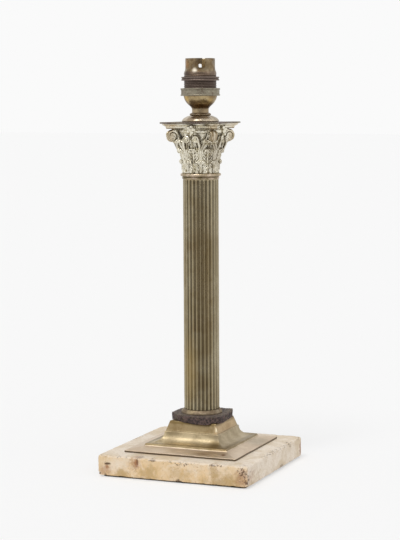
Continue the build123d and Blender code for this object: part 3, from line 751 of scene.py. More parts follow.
def brass_looks(brass):
    """How each slot's brass has aged, as aged_brass takes it."""
    return {
        "rod_brass": dict(tones=(brass.aged, brass.olive, brass.brown)),
        "contact_brass": dict(tones=(brass.golden, brass.aged, brass.brown), blotch=3, rough=0.25),
        "plinth_brass": dict(
            tones=(srgb(204, 186, 150), brass.aged, srgb(156, 140, 106)), blotch=14, rough=0.34, hollows=0.9
        ),
        "foot_brass": dict(
            tones=(srgb(156, 142, 120), srgb(126, 110, 90), brass.aged),
            blotch=6, clean=0.46, rough=0.42, hollows=0.8,
        ),
        "column_brass": dict(
            tones=(srgb(174, 162, 134), srgb(152, 136, 102), srgb(132, 110, 74)),
            blotch=22, clean=0.48, rough=0.22, hollows=0.7, grime_and_shade=srgb(46, 36, 16),
        ),
        "neck_brass": dict(
            tones=(brass.lilac, srgb(138, 124, 88), brass.golden),
            blotch=8, clean=0.48, rough=0.24, hollows=0.8,
        ),
        "capital_brass": dict(
            tones=(brass.silver, srgb(208, 199, 174), srgb(182, 170, 128)),
            blotch=4, clean=0.58, rough=0.26, hollows=0.9, metal=0.88, grime_and_shade=srgb(98, 82, 52),
        ),
        "plate_brass": dict(tones=(srgb(124, 118, 100), brass.dark, brass.olive), clean=0.44, rough=0.33),
        "bun_brass": dict(
            tones=(srgb(204, 190, 168), srgb(168, 156, 136), brass.brown),
            blotch=10, clean=0.52, rough=0.22, hollows=0.8,
        ),
        "lock_brass": dict(
            tones=(brass.grey, brass.brown, brass.lilac), blotch=4, clean=0.46, rough=0.27, hollows=0.7
        ),
        "holder_brass": dict(
            tones=(srgb(184, 164, 124), srgb(138, 116, 86), brass.aged),
            blotch=7, clean=0.46, rough=0.22, hollows=0.8,
        ),
        "ring_brass": dict(
            tones=(srgb(158, 152, 134), brass.grey, srgb(120, 104, 90)),
            blotch=2.4, rough=0.34, hollows=0.7, mottle=0.3,
        ),
        "barrel_brass": dict(
            tones=(srgb(156, 138, 108), srgb(116, 96, 72), srgb(140, 130, 114)),
            blotch=3.4, clean=0.46, rough=0.2, hollows=0.6, mottle=0.45,
        ),
        "shade_ring_brass": dict(
            tones=(brass.lilac, brass.dark, brass.dark), blotch=4, clean=0.32, rough=0.27, hollows=0.8
        ),
    }


def finishes():
    """Every finish, by the name of its slot in the record."""
    brass = bpy.context.scene.lamp_brass
    marks = brass_marks(brass)
    made = {
        "stone": stone_finish(),
        "baize": felt_finish(),
        "spacer_rubber": spacer_finish(),
        "porcelain": porcelain_finish(),
        "steel": steel_finish(),
    }
    for slot, look in brass_looks(brass).items():
        made[slot] = aged_brass(slot, marks=marks.get(slot, ()), **look)
    return made


FINISHES = {}


def finish_of(slot):
    """The material for a slot, made once."""
    if not FINISHES:
        FINISHES.update(finishes())
    return FINISHES[slot]


# ---------------------------------------------------------------- stone and baize
# clouds and stains: a place in millimetres, how far it reaches, its stretch, its strength and its colour
STONE_MARKS = [
    ((-50, -69, 11), 15, (1, 0.3, 1.4), 0.6, "pale"),
    ((-8, -69, 14), 18, (1, 0.3, 1.6), 0.35, "tan"),
    ((49, -69, 3), 24, (1, 0.3, 2.0), 0.75, "olive"),
    ((39, -69, 12), 9, (1.6, 0.3, 0.8), 0.6, "olive"),
    ((-46, -69, 4), 12, (1, 0.3, 1.7), 0.7, "olive"),
    ((-21, -69, 6), 13, (1, 0.3, 1.3), 0.65, "olive"),
    ((8, -69, 8), 14, (1, 0.3, 1.6), 0.4, "olive"),
    ((-62, -69, 6), 8, (1, 0.3, 1), 0.45, "rust"),
    ((64, -69, 9), 9, (1, 0.3, 0.8), 0.5, "rust"),
    ((-34, -69, 14.5), 7.5, (1, 0.3, 1), 0.5, "rust"),
    ((-32.4, -69, 14.6), 5.4, (1.9, 0.3, 0.8), 0.75, "rust"),
    ((-31.6, -69, 15.6), 2.8, (3.0, 0.3, 0.7), 0.6, "dirt"),
    ((-59.6, -69, 12.1), 2.9, (0.8, 0.3, 2.2), 0.95, "dirt"),
    ((-60, -69, 9.2), 1.8, (1, 0.3, 1), 0.7, "rust"),
    ((-30, -69, 19.2), 3.4, (0.8, 0.3, 4), 0.5, "dirt"),
    ((-17.6, -69, 18), 3.4, (0.8, 0.3, 2.6), 0.85, "dirt"),
    ((6.6, -69, 1.5), 3, (0.8, 0.3, 1.2), 0.9, "dirt"),
    ((37.8, -69, 18), 2.6, (0.8, 0.3, 2.2), 0.85, "dirt"),
    ((69, 66, 8), 5, (0.3, 1.4, 0.7), 0.7, "rust"),
    ((69, 15, 2), 4, (0.3, 0.7, 1.2), 0.5, "dirt"),
    ((0, 69, 8), 30, (1, 0.3, 2.4), 0.4, "olive"),
    ((-69, 20, 6), 26, (0.3, 1, 2.4), 0.45, "olive"),
]
# where chips crowd together, as a place, how far it reaches, and its stretch
STONE_CHIPS = [
    ((64, -69, 14), 9.0, (1, 0.5, 0.8)),
    ((68.5, -69, 5), 5.0, (1, 0.6, 0.5)),
    ((69, 38.5, 17.3), 6.5, (0.5, 0.8, 1.3)),
    ((-46, -69, 19), 10.0, (0.8, 2, 3.5)),
    ((9, -69, 17.6), 17.0, (0.8, 3, 5)),
    ((42, -69, 18.4), 13.0, (0.8, 3, 4)),
    ((69, 0, 19), 40.0, (5, 0.7, 14)),
    ((0, 69, 18.6), 50.0, (1, 5, 9)),
    ((-69, 10, 18.6), 40.0, (5, 1, 9)),
]


class LAMP_OT_stone(bpy.types.Operator):
    """The stone slab: worn arrises and corners, chips along its edges, a recess below and the flex hole"""

    bl_idname = "lamp.stone"
    bl_label = "Stone base"

    def execute(self, context):
        settings = context.scene.lamp_stone
        (_, _, foot), (half, _, head) = span("stone_base")
        recess_radius, recess_top = 17.0, top("bottom_washer")
        arris = settings.arris / MM
        corners = [(ROD_HOLE, recess_top), (recess_radius, recess_top), (recess_radius, foot)]
        corners += [(half, foot), (half, head), (ROD_HOLE, head)]
        outline, _ = finely(*softened(corners, [0.3, 0.3, 0.5, 0.9, arris * 1.5, 0.4], steps=5), 1.15)
        roundness = np.where(outline[:, 0] <= recess_radius + 0.7, 1.0, 0.0)
        centre, _ = square_ring(120, 10)
        left = step(-centre[:, 0] * 0.5 - centre[:, 1] * 0.5, 0.8, 1.0)
        radius = settings.front_corner / MM * (1 - left) + settings.left_corner / MM * left
        points, normal = squared(outline, roundness, radius, 120, 10)
        out = outward(outline)
        facing = raised(out[:, 0][:, None, None] * normal[None], out[:, 1])
        plan = np.abs(points[..., :2]).max(axis=-1)
        from_top = np.hypot(half - plan, head - points[..., 2])
        from_foot = np.hypot(half - plan, points[..., 2] - foot)
        busy = 0.55 + 0.45 * step(hills(points, 30, 5), -0.2, 0.5)
        bite = step(hills(points, 2.8, 7, 2), 0.1, 0.75) * busy
        to_corner = half * sqrt(2) - np.hypot(points[..., 0], points[..., 1])
        edge = np.exp(-((from_top / 1.9) ** 2)) + 0.8 * np.exp(-((from_foot / 1.6) ** 2))
        edge = np.clip(edge + 0.9 * np.exp(-((to_corner / 3.2) ** 2)), 0, 1)
        depth = settings.chips / MM * bite * edge
        depth += 0.08 * (1 + hills(points, 22, 3, 2)) + 0.05 * (1 + hills(points, 2.0, 9))
        depth *= roundness[:, None] < 0.5
        worn = 0.7 + 0.3 * np.exp(-((from_top / 1.7) ** 2)) - 0.8 * np.clip(bite * edge * 1.6, 0, 1)
        points = points - facing * depth[..., None]
        block = build("stone_slab", [sheet(points, worn)], "stone", "stone_base", sharp=60)
        drill(block, flex_hole_cutter())
        return {"FINISHED"}


def flex_hole_cutter():
    """A closed bar along Y through the back of the stone into the recess, flared where the cord comes out."""
    mount = next(m for m in frame["record"]["mounts"] if m["name"] == "flex_hole")
    middle, _, height = (value / MM for value in mount["pos_m"])
    radius = mount["dims"]["r_mm"]
    flare = radius + 0.8
    rows = [(0.0, 12.0), (radius, 12.0), (radius, 66.0), (flare, 69.6), (flare, 75.0), (0.0, 75.0)]
    size, along = (np.array(column)[:, None] for column in zip(*rows))
    circle = polar(size, round_angles(40), along)
    return sheet(circle[..., [0, 2, 1]] + [middle, 0, height], close_rows=False)


def drill(block, cutter):
    """Cuts a closed sheet out of an object, and leaves the result as its mesh."""
    corners, quads = corners_and_faces(cutter)
    mesh = bpy.data.meshes.new("cutter")
    mesh.from_pydata((corners * MM).tolist(), [], quads.tolist())
    weld(mesh)
    tool = bpy.data.objects.new("cutter", mesh)
    bpy.context.collection.objects.link(tool)
    cut = block.modifiers.new("cut", "BOOLEAN")
    cut.operation = "DIFFERENCE"
    cut.solver = "EXACT"
    cut.object = tool
    graph = bpy.context.evaluated_depsgraph_get()
    result = bpy.data.meshes.new_from_object(block.evaluated_get(graph), depsgraph=graph)
    block.modifiers.clear()
    result.name = block.name
    block.data = result
    bpy.data.objects.remove(tool)


class LAMP_OT_baize(bpy.types.Operator):
    """The baize glued under the stone, a little uneven at its cut edge"""

    bl_idname = "lamp.baize"
    bl_label = "Baize"

    def execute(self, context):
        (_, _, low), (half, _, high) = span("baize_pad")
        corners = [(0, low), (half, low), (half, high), (0, high)]
        outline, stands = finely(*softened(corners, [0, 0.5, 0.3, 0], steps=3), 3.0)
        points, normal = squared(outline, 0 * stands, 3.0, 60, 6)
        edge = step(np.abs(points[..., :2]).max(axis=-1), half - 3, half)
        trim = -0.35 * edge * (1 + hills(points, 5, 11, 2))
        points[..., :2] += trim[..., None] * normal
        pad = build("baize_sheet", [sheet(points, close_rows=False)], "baize", "baize_pad")
        return {"FINISHED"}


# ---------------------------------------------------------------- plinth and spacer
class LAMP_OT_plinth(bpy.types.Operator):
    """The hollow brass plinth: its moulding is carried round a square and mitred at the corners"""

    bl_idname = "lamp.plinth"
    bl_label = "Plinth"

    def execute(self, context):
        (_, _, foot), (half, _, head) = span("plinth")
        wall = 1.6
        cove = np.linspace(0, 1, 17)[:, None]
        start, middle, end = np.array([(37.6, 25.4), (25.4, 25.2), (25.2, 34.4)])
        sweep = (1 - cove) ** 2 * start + 2 * cove * (1 - cove) * middle + cove**2 * end
        outside = [(half, foot), (half, foot + 1.6), (38.9, 23.2), (38.2, 24.2), (37.9, 24.9)]
        outside += sweep.tolist() + [(24.9, 34.8), (24.3, 34.8), (21.4, head), (ROD_HOLE, head)]
        inside = [(max(x - wall, ROD_HOLE), z - wall) for x, z in reversed(outside[:-1])][1:-2]
        inside = [(ROD_HOLE, head - wall)] + inside + [(half - wall, foot)]
        outline, stands = finely(*softened(outside + inside, 0.45, steps=3), 2.2)
        roundness = step(12 - outline[:, 0], 0, 5)
        points, normal = squared(outline, roundness, 0.45, 44, 4)
        dents = 0.16 * hills(points, 14, 21, 2) * step(points[..., 2], foot, foot + 2)
        points[..., :2] += dents[..., None] * normal
        points[..., 2] += 0.12 * hills(points, 19, 22) * step(points[..., 2], foot + 0.5, foot + 2)
        mitre = np.zeros(len(normal))
        mitre[np.abs(normal).min(axis=1) > 0.01] = 0.5
        worn = np.clip(0.5 + 0.5 * stands[:, None] + mitre[None], 0, 1)
        build("plinth_shell", [sheet(points, worn)], "plinth_brass", "plinth", sharp=48)
        return {"FINISHED"}


class LAMP_OT_spacer(bpy.types.Operator):
    """The rough eight-sided spacer under the column, which droops over the plinth and curls at its right"""

    bl_idname = "lamp.spacer"
    bl_label = "Spacer"

    def execute(self, context):
        (_, _, low), (half, _, high) = span("spacer")
        flat = 11.8
        corners = [(half - 0.3, -flat - 4), (half, flat), (flat, half), (-flat, half), (-half, flat)]
        corners += [(-half + 0.5, -flat + 1), (-flat - 2, -21.9), (3, -half + 0.3), (flat + 3.4, -half)]
        plan, _ = finely(*softened(corners, 2.6, steps=6), 0.8)
        section = [(ROD_HOLE, low), (half, low), (half, high), (ROD_HOLE, high)]
        outline, stands = finely(*softened(section, [0.2, 0.5, 0.5, 0.2], steps=5), 0.8)
        size = outline[:, 0][:, None, None]
        direction = plan / np.linalg.norm(plan, axis=1, keepdims=True)
        share = step(size, ROD_HOLE, 14)
        ring = share * (size / half) * plan[None] + (1 - share) * size * direction[None]
        points = raised(ring, outline[:, 1])
        reach = np.hypot(points[..., 0], points[..., 1])
        edge = step(reach, 16, 24)
        points[..., :2] += (edge * (0.35 * hills(points, 4, 31, 3) - 0.3))[..., None] * direction[None]
        over = np.clip((np.abs(points[..., :2]).max(axis=-1) - 21.3) / 3.6, 0, 1)
        front = step(-points[..., 1], 5, 22)
        sag = context.scene.lamp_shape.spacer_sag / MM * over * (0.2 + 0.8 * front)
        under = step(high - points[..., 2], 0, high - low)
        points[..., 2] -= sag * (0.3 + 0.7 * under)
        to_right = points[..., 0] * 0.92 + points[..., 1] * 0.38
        points[..., 2] += (2.3 - 1.3 * under) * step(to_right, 19, 27.5)
        points[..., 2] += edge * 0.36 * hills(points, 3.2, 33, 3) * (0.4 + 0.6 * over)
        worn = np.clip(0.5 + 0.5 * stands[:, None] + 0.3 * hills(points, 2.0, 34), 0, 1)
        build("spacer_pad", [sheet(points, worn)], "spacer_rubber", "spacer", sharp=80)
        return {"FINISHED"}


# ---------------------------------------------------------------- column
COLUMN_HEAD = top("column") + 1.0
COLUMN_RADIUS = 15.5


class LAMP_OT_column(bpy.types.Operator):
    """The brass tube with its flutes, which run straight to the foot and end in arches at the top"""

    bl_idname = "lamp.column"
    bl_label = "Fluted column"

    def execute(self, context):
        shape = context.scene.lamp_shape
        foot, bore = bottom("column"), 13.4
        cutter, depth = shape.flute_radius / MM, shape.flute_depth / MM
        flute_top, first = COLUMN_HEAD - 1.6, radians(3.3)
        per_flute = 16
        angle = round_angles(shape.flutes * per_flute, first)
        across = (np.arange(shape.flutes * per_flute) / per_flute + 0.5) % 1 - 0.5
        sideways = across * 2 * pi * COLUMN_RADIUS / shape.flutes
        arch = np.linspace(flute_top - 0.5, flute_top + 1.5, 11)
        heights = np.concatenate([np.linspace(foot, flute_top - 2, 58), arch, [COLUMN_HEAD]])
        past = np.maximum(heights - flute_top, 0)[:, None]
        cut = np.sqrt(np.maximum(cutter**2 - sideways[None] ** 2 - past**2, 0)) - (cutter - depth)
        # a cut of under 0.12 mm is eased to nothing, which rounds the arrises
        cut = np.where(cut > 0.12, cut - 0.04, np.maximum(cut, 0) ** 2 / 0.18)
        rings = np.concatenate([COLUMN_RADIUS - cut, np.full((2, len(angle)), bore)])
        levels = np.concatenate([heights, [COLUMN_HEAD, foot]])[:, None]
        points = polar(rings, angle, levels)
        points[: len(heights), :, :2] *= 1 + 0.0015 * (hills(points[: len(heights)], 24, 41)[..., None] - 1)
        worn = np.concatenate([1 - 1.25 * np.clip(cut / depth, 0, 0.8), np.zeros((2, len(angle)))])
        build("column_tube", [sheet(points, worn)], "column_brass", "column", sharp=50)
        return {"FINISHED"}


class LAMP_OT_column_rings(bpy.types.Operator):
    """The collar under the column and the beaded ring over it"""

    bl_idname = "lamp.column_rings"
    bl_label = "Column foot and neck ring"

    def execute(self, context):
        (_, _, low), (reach, _, high) = span("column_foot")
        spigot, shoulder = 13.3, bottom("column")
        corners = [(ROD_HOLE, low), (reach, low), (reach - 0.2, low + 1.3), (16.6, shoulder - 0.6)]
        corners += [(15.9, shoulder), (spigot, shoulder), (spigot, high), (ROD_HOLE, high)]
        radii = [0.2, 0.5, 0.7, 0.8, 0.3, 0.1, 0.3, 0.2]
        turning("column_collar", corners, radii, "foot_brass", "column_foot", 96, 0.15, 51)

        (_, _, low), (reach, _, high) = span("neck_ring")
        neck, shoulder, bead, rise = 15.9, COLUMN_HEAD, 257.8, 1.45
        roll = np.linspace(-pi / 2, pi / 2, 13)
        bead_line = [(neck + (reach - neck) * cos(turn), bead + rise * sin(turn)) for turn in roll]
        corners = [(ROD_HOLE, low), (spigot, low), (spigot, shoulder), (neck, shoulder)]
        corners += [(neck, shoulder + 0.5), (neck + 0.3, shoulder + 0.7), (neck + 0.3, shoulder + 1.4)]
        corners += [(neck - 0.2, shoulder + 1.7)]
        corners += bead_line + [(neck - 0.2, high), (ROD_HOLE, high)]
        outline, stands = softened(corners, 0.25, steps=3)
        worn = np.clip(stands + step(outline[:, 0], neck + 0.5, reach) * 0.8 - 0.2, -1, 1)
        build("neck_bead", [turned(outline, worn, 128, 0.08, 52)], "neck_brass", "neck_ring")
        return {"FINISHED"}


# ---------------------------------------------------------------- capital
CAPITAL_BORE = 11.5
BELL_TOP = 298.4
LEAF_THICK = 0.75
UPPER_ANGLES = round_angles(8)
LOWER_ANGLES = round_angles(8, pi / 8)
CORNER_ANGLES = round_angles(4, pi / 4)
FACE_ANGLES = round_angles(4)
# each leaf's middle line, as (out from the axis, height), from its foot to the tip that rolls over
LOWER_SPINE = [(15.4, 259.6), (15.5, 264.5), (15.8, 267.8), (16.5, 269.8), (17.1, 270.3), (17.6, 269.6)]
LOWER_SPINE += [(17.3, 268.4)]
UPPER_SPINE = [(15.2, 259.6), (15.4, 268.5), (16.1, 274.5), (17.5, 278.6), (19.2, 280.4), (20.6, 279.8)]
UPPER_SPINE += [(20.4, 278.0)]
CORNER_SPINE = [(16.6, 276.5), (17.6, 282.0), (18.9, 286.0), (20.9, 288.0), (23.0, 288.4), (24.4, 287.7)]
CORNER_SPINE += [(24.6, 286.5)]
SHEATH_SPINE = [(17.6, 277.5), (18.9, 282.5), (20.2, 286.0), (21.8, 288.0), (23.3, 288.2), (23.8, 286.9)]
HUSK_SPINE = [(17.0, 278.5), (18.4, 284.0), (19.8, 289.0), (20.9, 292.8), (22.3, 294.4), (23.6, 293.8)]
# its half width along that line, as (share of the length, millimetres)
LOWER_WIDTH = [(0.0, 4.8), (0.25, 5.6), (0.5, 6.0), (0.7, 5.4), (0.85, 4.2), (0.95, 2.7), (1.0, 0.0)]
UPPER_WIDTH = [(0.0, 3.6), (0.35, 4.8), (0.6, 6.1), (0.75, 5.6), (0.88, 4.2), (0.96, 2.7), (1.0, 0.0)]
CORNER_WIDTH = [(0.0, 3.0), (0.35, 4.4), (0.6, 4.9), (0.8, 4.3), (0.93, 2.8), (1.0, 0.0)]
SHEATH_WIDTH = [(0.0, 1.6), (0.35, 2.7), (0.6, 3.3), (0.8, 2.8), (0.93, 1.7), (1.0, 0.0)]
HUSK_WIDTH = [(0.0, 1.6), (0.3, 2.2), (0.6, 2.6), (0.8, 2.2), (0.93, 1.4), (1.0, 0.0)]


def even_line(corners, count, radius=2.5):
    """A soft curve past the corners, as count points evenly spaced, and the unit normals on its right."""
    line, _ = softened(corners, radius, closed=False, steps=6)
    along = np.concatenate([[0], np.cumsum(np.linalg.norm(np.diff(line, axis=0), axis=1))])
    places = np.linspace(0, along[-1], count)
    points = np.stack([np.interp(places, along, line[:, axis]) for axis in (0, 1)], axis=1)
    ahead = np.gradient(points, axis=0)
    ahead /= np.linalg.norm(ahead, axis=1, keepdims=True)
    return points, np.stack([ahead[:, 1], -ahead[:, 0]], axis=1)


def acanthus(angle, spine, widths, lobes, relief, seed, rows=56, half_columns=13, thick=LEAF_THICK, lean=0.0):
    """One leaf, as a closed sheet round its front and back.

    Along the leaf v runs from 0 at its foot to 1 at its tip, and across it u runs from -1 to 1. The veins are
    the lines where lobes v^1.9 - 2.5 |u| is whole: upright at the foot, and fanning out to the edge above.
    The edge is drawn in where they reach it, which cuts the leaf into lobes, and each lobe swells between
    them.
    Lean carries the leaf sideways by lean v^1.4 millimetres.
    """
    v = np.linspace(0, 1, rows)
    line, normal = even_line(spine, rows)
    u = np.linspace(-1, 1, 2 * half_columns + 1)
    u = np.sign(u) * np.abs(u) ** 0.9
    loop = np.concatenate([u, u[::-1]])[None, :]
    from_middle = np.abs(loop)
    front = np.concatenate([np.ones(len(u)), np.zeros(len(u))])[None, :]
    v = v[:, None]
    fan = lobes * v**1.9 - 2.5 * from_middle
    swell = np.abs(np.sin(pi * fan)) ** 0.7
    edge_swell = np.abs(np.sin(pi * (lobes * v**1.9 - 2.5))) ** 0.6
    toothed = step(v, 0.12, 0.35)
    half_width = np.interp(v, *np.transpose(widths)) * (1 - 0.32 * toothed * (1 - edge_swell))
    middle = np.exp(-((loop / 0.11) ** 2))
    gutter = np.exp(-(((from_middle - 0.24) / 0.08) ** 2))
    tip = step(v, 0.62, 0.95)
    veins = (swell - 0.6) * step(from_middle, 0.12, 0.4)
    height = relief * (veins + middle * (1 - 0.5 * v) - 0.8 * gutter)
    curl = (0.9 * tip + 0.35) * from_middle**3 * edge_swell
    knobs = 0.9 * tip * np.exp(-((loop / 0.35) ** 2))
    lift = height + (curl * 0.8 + knobs) * (thick / LEAF_THICK)
    back = -thick - 0.7 * height * tip
    offset = front * lift + (1 - front) * (back + curl * 0.5)
    out = line[:, 0][:, None] + normal[:, 0][:, None] * offset
    up = line[:, 1][:, None] + normal[:, 1][:, None] * offset
    up = up - tip * 1.3 * from_middle**2
    sideways = loop * half_width + lean * v**1.4
    turn = sideways / np.maximum(line[:, 0][:, None], 1)
    turn = turn * (1 - tip) + np.arctan2(sideways, out) * tip
    points = polar(out, angle + turn, up)
    rough = 0.16 * hills(points, 3.5, seed) + 0.22 * hills(points, 1.3, seed + 500)
    points += rough[..., None] * np.array([cos(angle), sin(angle), 0.4])
    worn = np.clip(0.34 + 0.75 * height / relief + 0.35 * curl + 0.1 * tip + 1.5 * rough, 0, 1)
    return sheet(points, worn, close_rows=False)


def leaf_row(angles, spine, widths, lobes, relief, seed, **thickness):
    """A leaf at each angle, alike but for their roughness."""
    return [acanthus(a, spine, widths, lobes, relief, seed + k, **thickness) for k, a in enumerate(angles)]


def carved(name, sheets, sharp=SHARP):
    """A piece of the capital."""
    build(name, sheets, "capital_brass", "capital", sharp=sharp)


class LAMP_OT_leaves(bpy.types.Operator):
    """The capital's leaves: two rows of eight, one under each horn, and the small ones below the scrolls"""

    bl_idname = "lamp.leaves"
    bl_label = "Capital leaves"

    def execute(self, context):
        relief = context.scene.lamp_shape.leaf_relief / MM
        small = []
        for k, a in enumerate(LOWER_ANGLES):
            to_corner = (-1) ** k
            for side, reach in ((to_corner, 2.6), (-to_corner, 3.4)):
                sheath = acanthus(
                    a + side * 0.07, SHEATH_SPINE, SHEATH_WIDTH, 3.5, relief * 0.8, 150 + 2 * k + side,
                    rows=32, half_columns=8, thick=0.6, lean=side * reach,
                )
                small.append(sheath)
        small += leaf_row(
            FACE_ANGLES, HUSK_SPINE, HUSK_WIDTH, 4.0, relief * 0.7, 170, rows=36, half_columns=8, thick=0.6
        )
        lower = leaf_row(LOWER_ANGLES, LOWER_SPINE, LOWER_WIDTH, 6, relief, 60)
        upper = leaf_row(UPPER_ANGLES, UPPER_SPINE, UPPER_WIDTH, 7.5, relief * 1.1, 70, rows=80)
        corner = leaf_row(CORNER_ANGLES, CORNER_SPINE, CORNER_WIDTH, 4.5, relief, 140)
        carved("lower_leaves", lower, 70)
        carved("upper_leaves", upper, 70)
        carved("corner_leaves", corner, 70)
        carved("scroll_leaves", small, 70)
        return {"FINISHED"}


class LAMP_OT_bell(bpy.types.Operator):
    """The capital's core, hollow, which widens to the abacus behind the leaves"""

    bl_idname = "lamp.bell"
    bl_label = "Capital bell"

    def execute(self, context):
        low = bottom("capital")
        corners = [(CAPITAL_BORE, low), (15.0, low), (15.0, 262.0), (14.9, 270.0), (16.6, 281.0)]
        corners += [(19.2, 290.5), (20.4, 293.6), (21.4, 294.6), (21.6, 296.2), (20.8, 297.2)]
        corners += [(20.8, BELL_TOP), (CAPITAL_BORE, BELL_TOP)]
        points = turned(*finely(*softened(corners, 1.6, steps=5), 0.9), 220).points
        height = points[..., 2]
        rough = 0.3 * hills(points, 2.2, 62, 2) * step(height, 274, 278)
        outer = (np.hypot(points[..., 0], points[..., 1]) > 14)[..., None]
        points[..., :2] *= 1 + outer * rough[..., None] / 18
        worn = np.clip(0.3 + 0.45 * step(height, 292, 295) + 0.9 * rough, 0, 1)
        carved("capital_bell", [sheet(points, worn)])
        return {"FINISHED"}


def band_section(width, thick):
    """A band's closed section, as (across, out): a hollow face between two raised rims, and a flat back.

    The third result says how worn each point is.
    """
    across = np.array([-1, -1, -0.8, -0.5, 0, 0.5, 0.8, 1, 1, 0.6, -0.6]) * width / 2
    out = np.array([-0.6, 0.5, 1, 0.5, 0.35, 0.5, 1, 0.5, -0.6, -1, -1]) * thick / 2
    worn = np.array([0.3, 0.8, 1, 0.35, 0.15, 0.35, 1, 0.8, 0.3, 0.1, 0.1])
    return across, out, worn


def band(path, across, scale, width, thick):
    """A band swept along a path of 3-D points: each ring spans the direction across and the one square to it.

    Scale thins it along the path, one number for each point, and hills 1.5 mm across roughen its face.
    """
    ahead = np.gradient(path, axis=0)
    ahead /= np.linalg.norm(ahead, axis=1, keepdims=True)
    across = across - np.sum(across * ahead, axis=1, keepdims=True) * ahead
    across /= np.linalg.norm(across, axis=1, keepdims=True)
    out = np.cross(across, ahead)
    a, b, worn = band_section(width, thick)
    section = a[None, :, None] * across[:, None] + b[None, :, None] * out[:, None]
    points = path[:, None] + scale[:, None, None] * section
    points += 0.28 * hills(points, 1.5, 180)[..., None] * out[:, None]
    return sheet(capped(path, points), worn, close_rows=False)


def scroll_line(foot, lean, centre, radius, eye, turns, count=64):
    """A stalk and the spiral that it rolls into, in the upright plane, as points (out, height).

    The stalk is the cubic curve from foot, leaving along lean, to the left of the centre, where the spiral
    starts straight up. The spiral then turns clockwise, and its radius falls evenly from radius to eye.
    """
    foot, centre = np.array(foot), np.array(centre)
    start = centre + np.array([-radius, 0])
    t = np.linspace(0, 1, 15)[:-1, None]
    leave = foot + np.array(lean)
    arrive = start - np.array([0, radius * 0.9])
    stalk = (1 - t) ** 3 * foot + 3 * t * (1 - t) ** 2 * leave + 3 * t**2 * (1 - t) * arrive + t**3 * start
    angle = pi - np.linspace(0, turns * 2 * pi, count)
    shrink = (radius + (eye - radius) * np.linspace(0, 1, count) ** 0.85)[:, None]
    spiral = centre + shrink * np.stack([np.cos(angle), np.sin(angle)], axis=1)
    return np.concatenate([stalk, spiral]), np.concatenate([t[:, 0], np.ones(count)])


def boss(centre, axis, radius, long_radius, worn=0.7, ribs=0):
    """A closed ellipsoid, long along its axis, from latitude and longitude, with ribs that run round it.

    The ribs swell its radius by a share of 0.07 cos(2 ribs latitude).
    """
    axis = np.array(axis, float)
    other = np.cross(axis, [0.0, 0.0, 1.0]) if abs(axis[2]) < 0.9 else np.array([1.0, 0, 0])
    other /= np.linalg.norm(other)
    third = np.cross(axis, other)
    rows, columns = (21, 28) if ribs else (9, 14)
    latitude = np.linspace(-pi / 2, pi / 2, rows)[:, None, None]
    longitude = round_angles(columns)[None, :, None]
    swell = np.cos(2 * ribs * latitude) if ribs else 0 * latitude
    circle = np.cos(longitude) * other + np.sin(longitude) * third
    flat = radius * np.cos(latitude) * (1 + 0.07 * swell) * circle
    points = np.array(centre) + flat + long_radius * np.sin(latitude) * axis
    if ribs:
        points += 0.3 * hills(points, 1.6, 181)[..., None] * (flat / radius)
    return sheet(points, np.clip(worn + 0.45 * swell[..., 0], 0, 1), close_rows=False)


# the scrolls under a horn and the knob over them, as (out from the axis, height)
CORNER_CENTRE, CORNER_RADIUS = (26.7, 291.7), 4.9
KNOB_CENTRE = (24.3, 296.4)
STEM_OUT, STEM_TOP = 17.6, 279.2
# the scrolls in the middle of a side, as (sideways, height), and how far out their eyes stand
SIDE_CENTRE, SIDE_RADIUS = (3.9, 288.4), 3.0
SIDE_OUT = 21.2


def corner_scroll(corner, side):
    """The band that leaves a stem beside a corner, leans to the corner and rolls up under the horn."""
    line, rise = scroll_line((STEM_OUT + 0.6, STEM_TOP), (1.2, 6.0), CORNER_CENTRE, CORNER_RADIUS, 0.9, 1.8)
    sideways = side * (1.45 + 5.4 * (1 - rise) ** 1.3)
    path = placed(line[:, 0], sideways, line[:, 1], corner)
    thin = np.interp(np.linspace(0, 1, len(line)), [0, 0.06, 0.2, 0.75, 1], [1.0, 1.45, 1.0, 0.95, 0.75])
    return band(path, placed(0, 1, 0, corner), thin, 3.0, 1.55)


def side_scroll(face, side):
    """The smaller band that leaves the same stem, leans to the middle of the side and rolls up there."""
    centre = (-SIDE_CENTRE[0], SIDE_CENTRE[1])
    line, rise = scroll_line((-6.6, STEM_TOP), (-1.2, 4.6), centre, SIDE_RADIUS, 0.6, 1.5, 48)
    along = np.linspace(0, 1, len(line))
    path = placed(STEM_OUT + 3.2 * rise + 0.7 * along, side * line[:, 0], line[:, 1], face)
    thin = np.interp(along, [0, 0.1, 0.25, 0.8, 1], [0.9, 1.25, 1.0, 0.9, 0.7])
    return band(path, placed(1, 0, 0, face), thin, 3.4, 1.7)


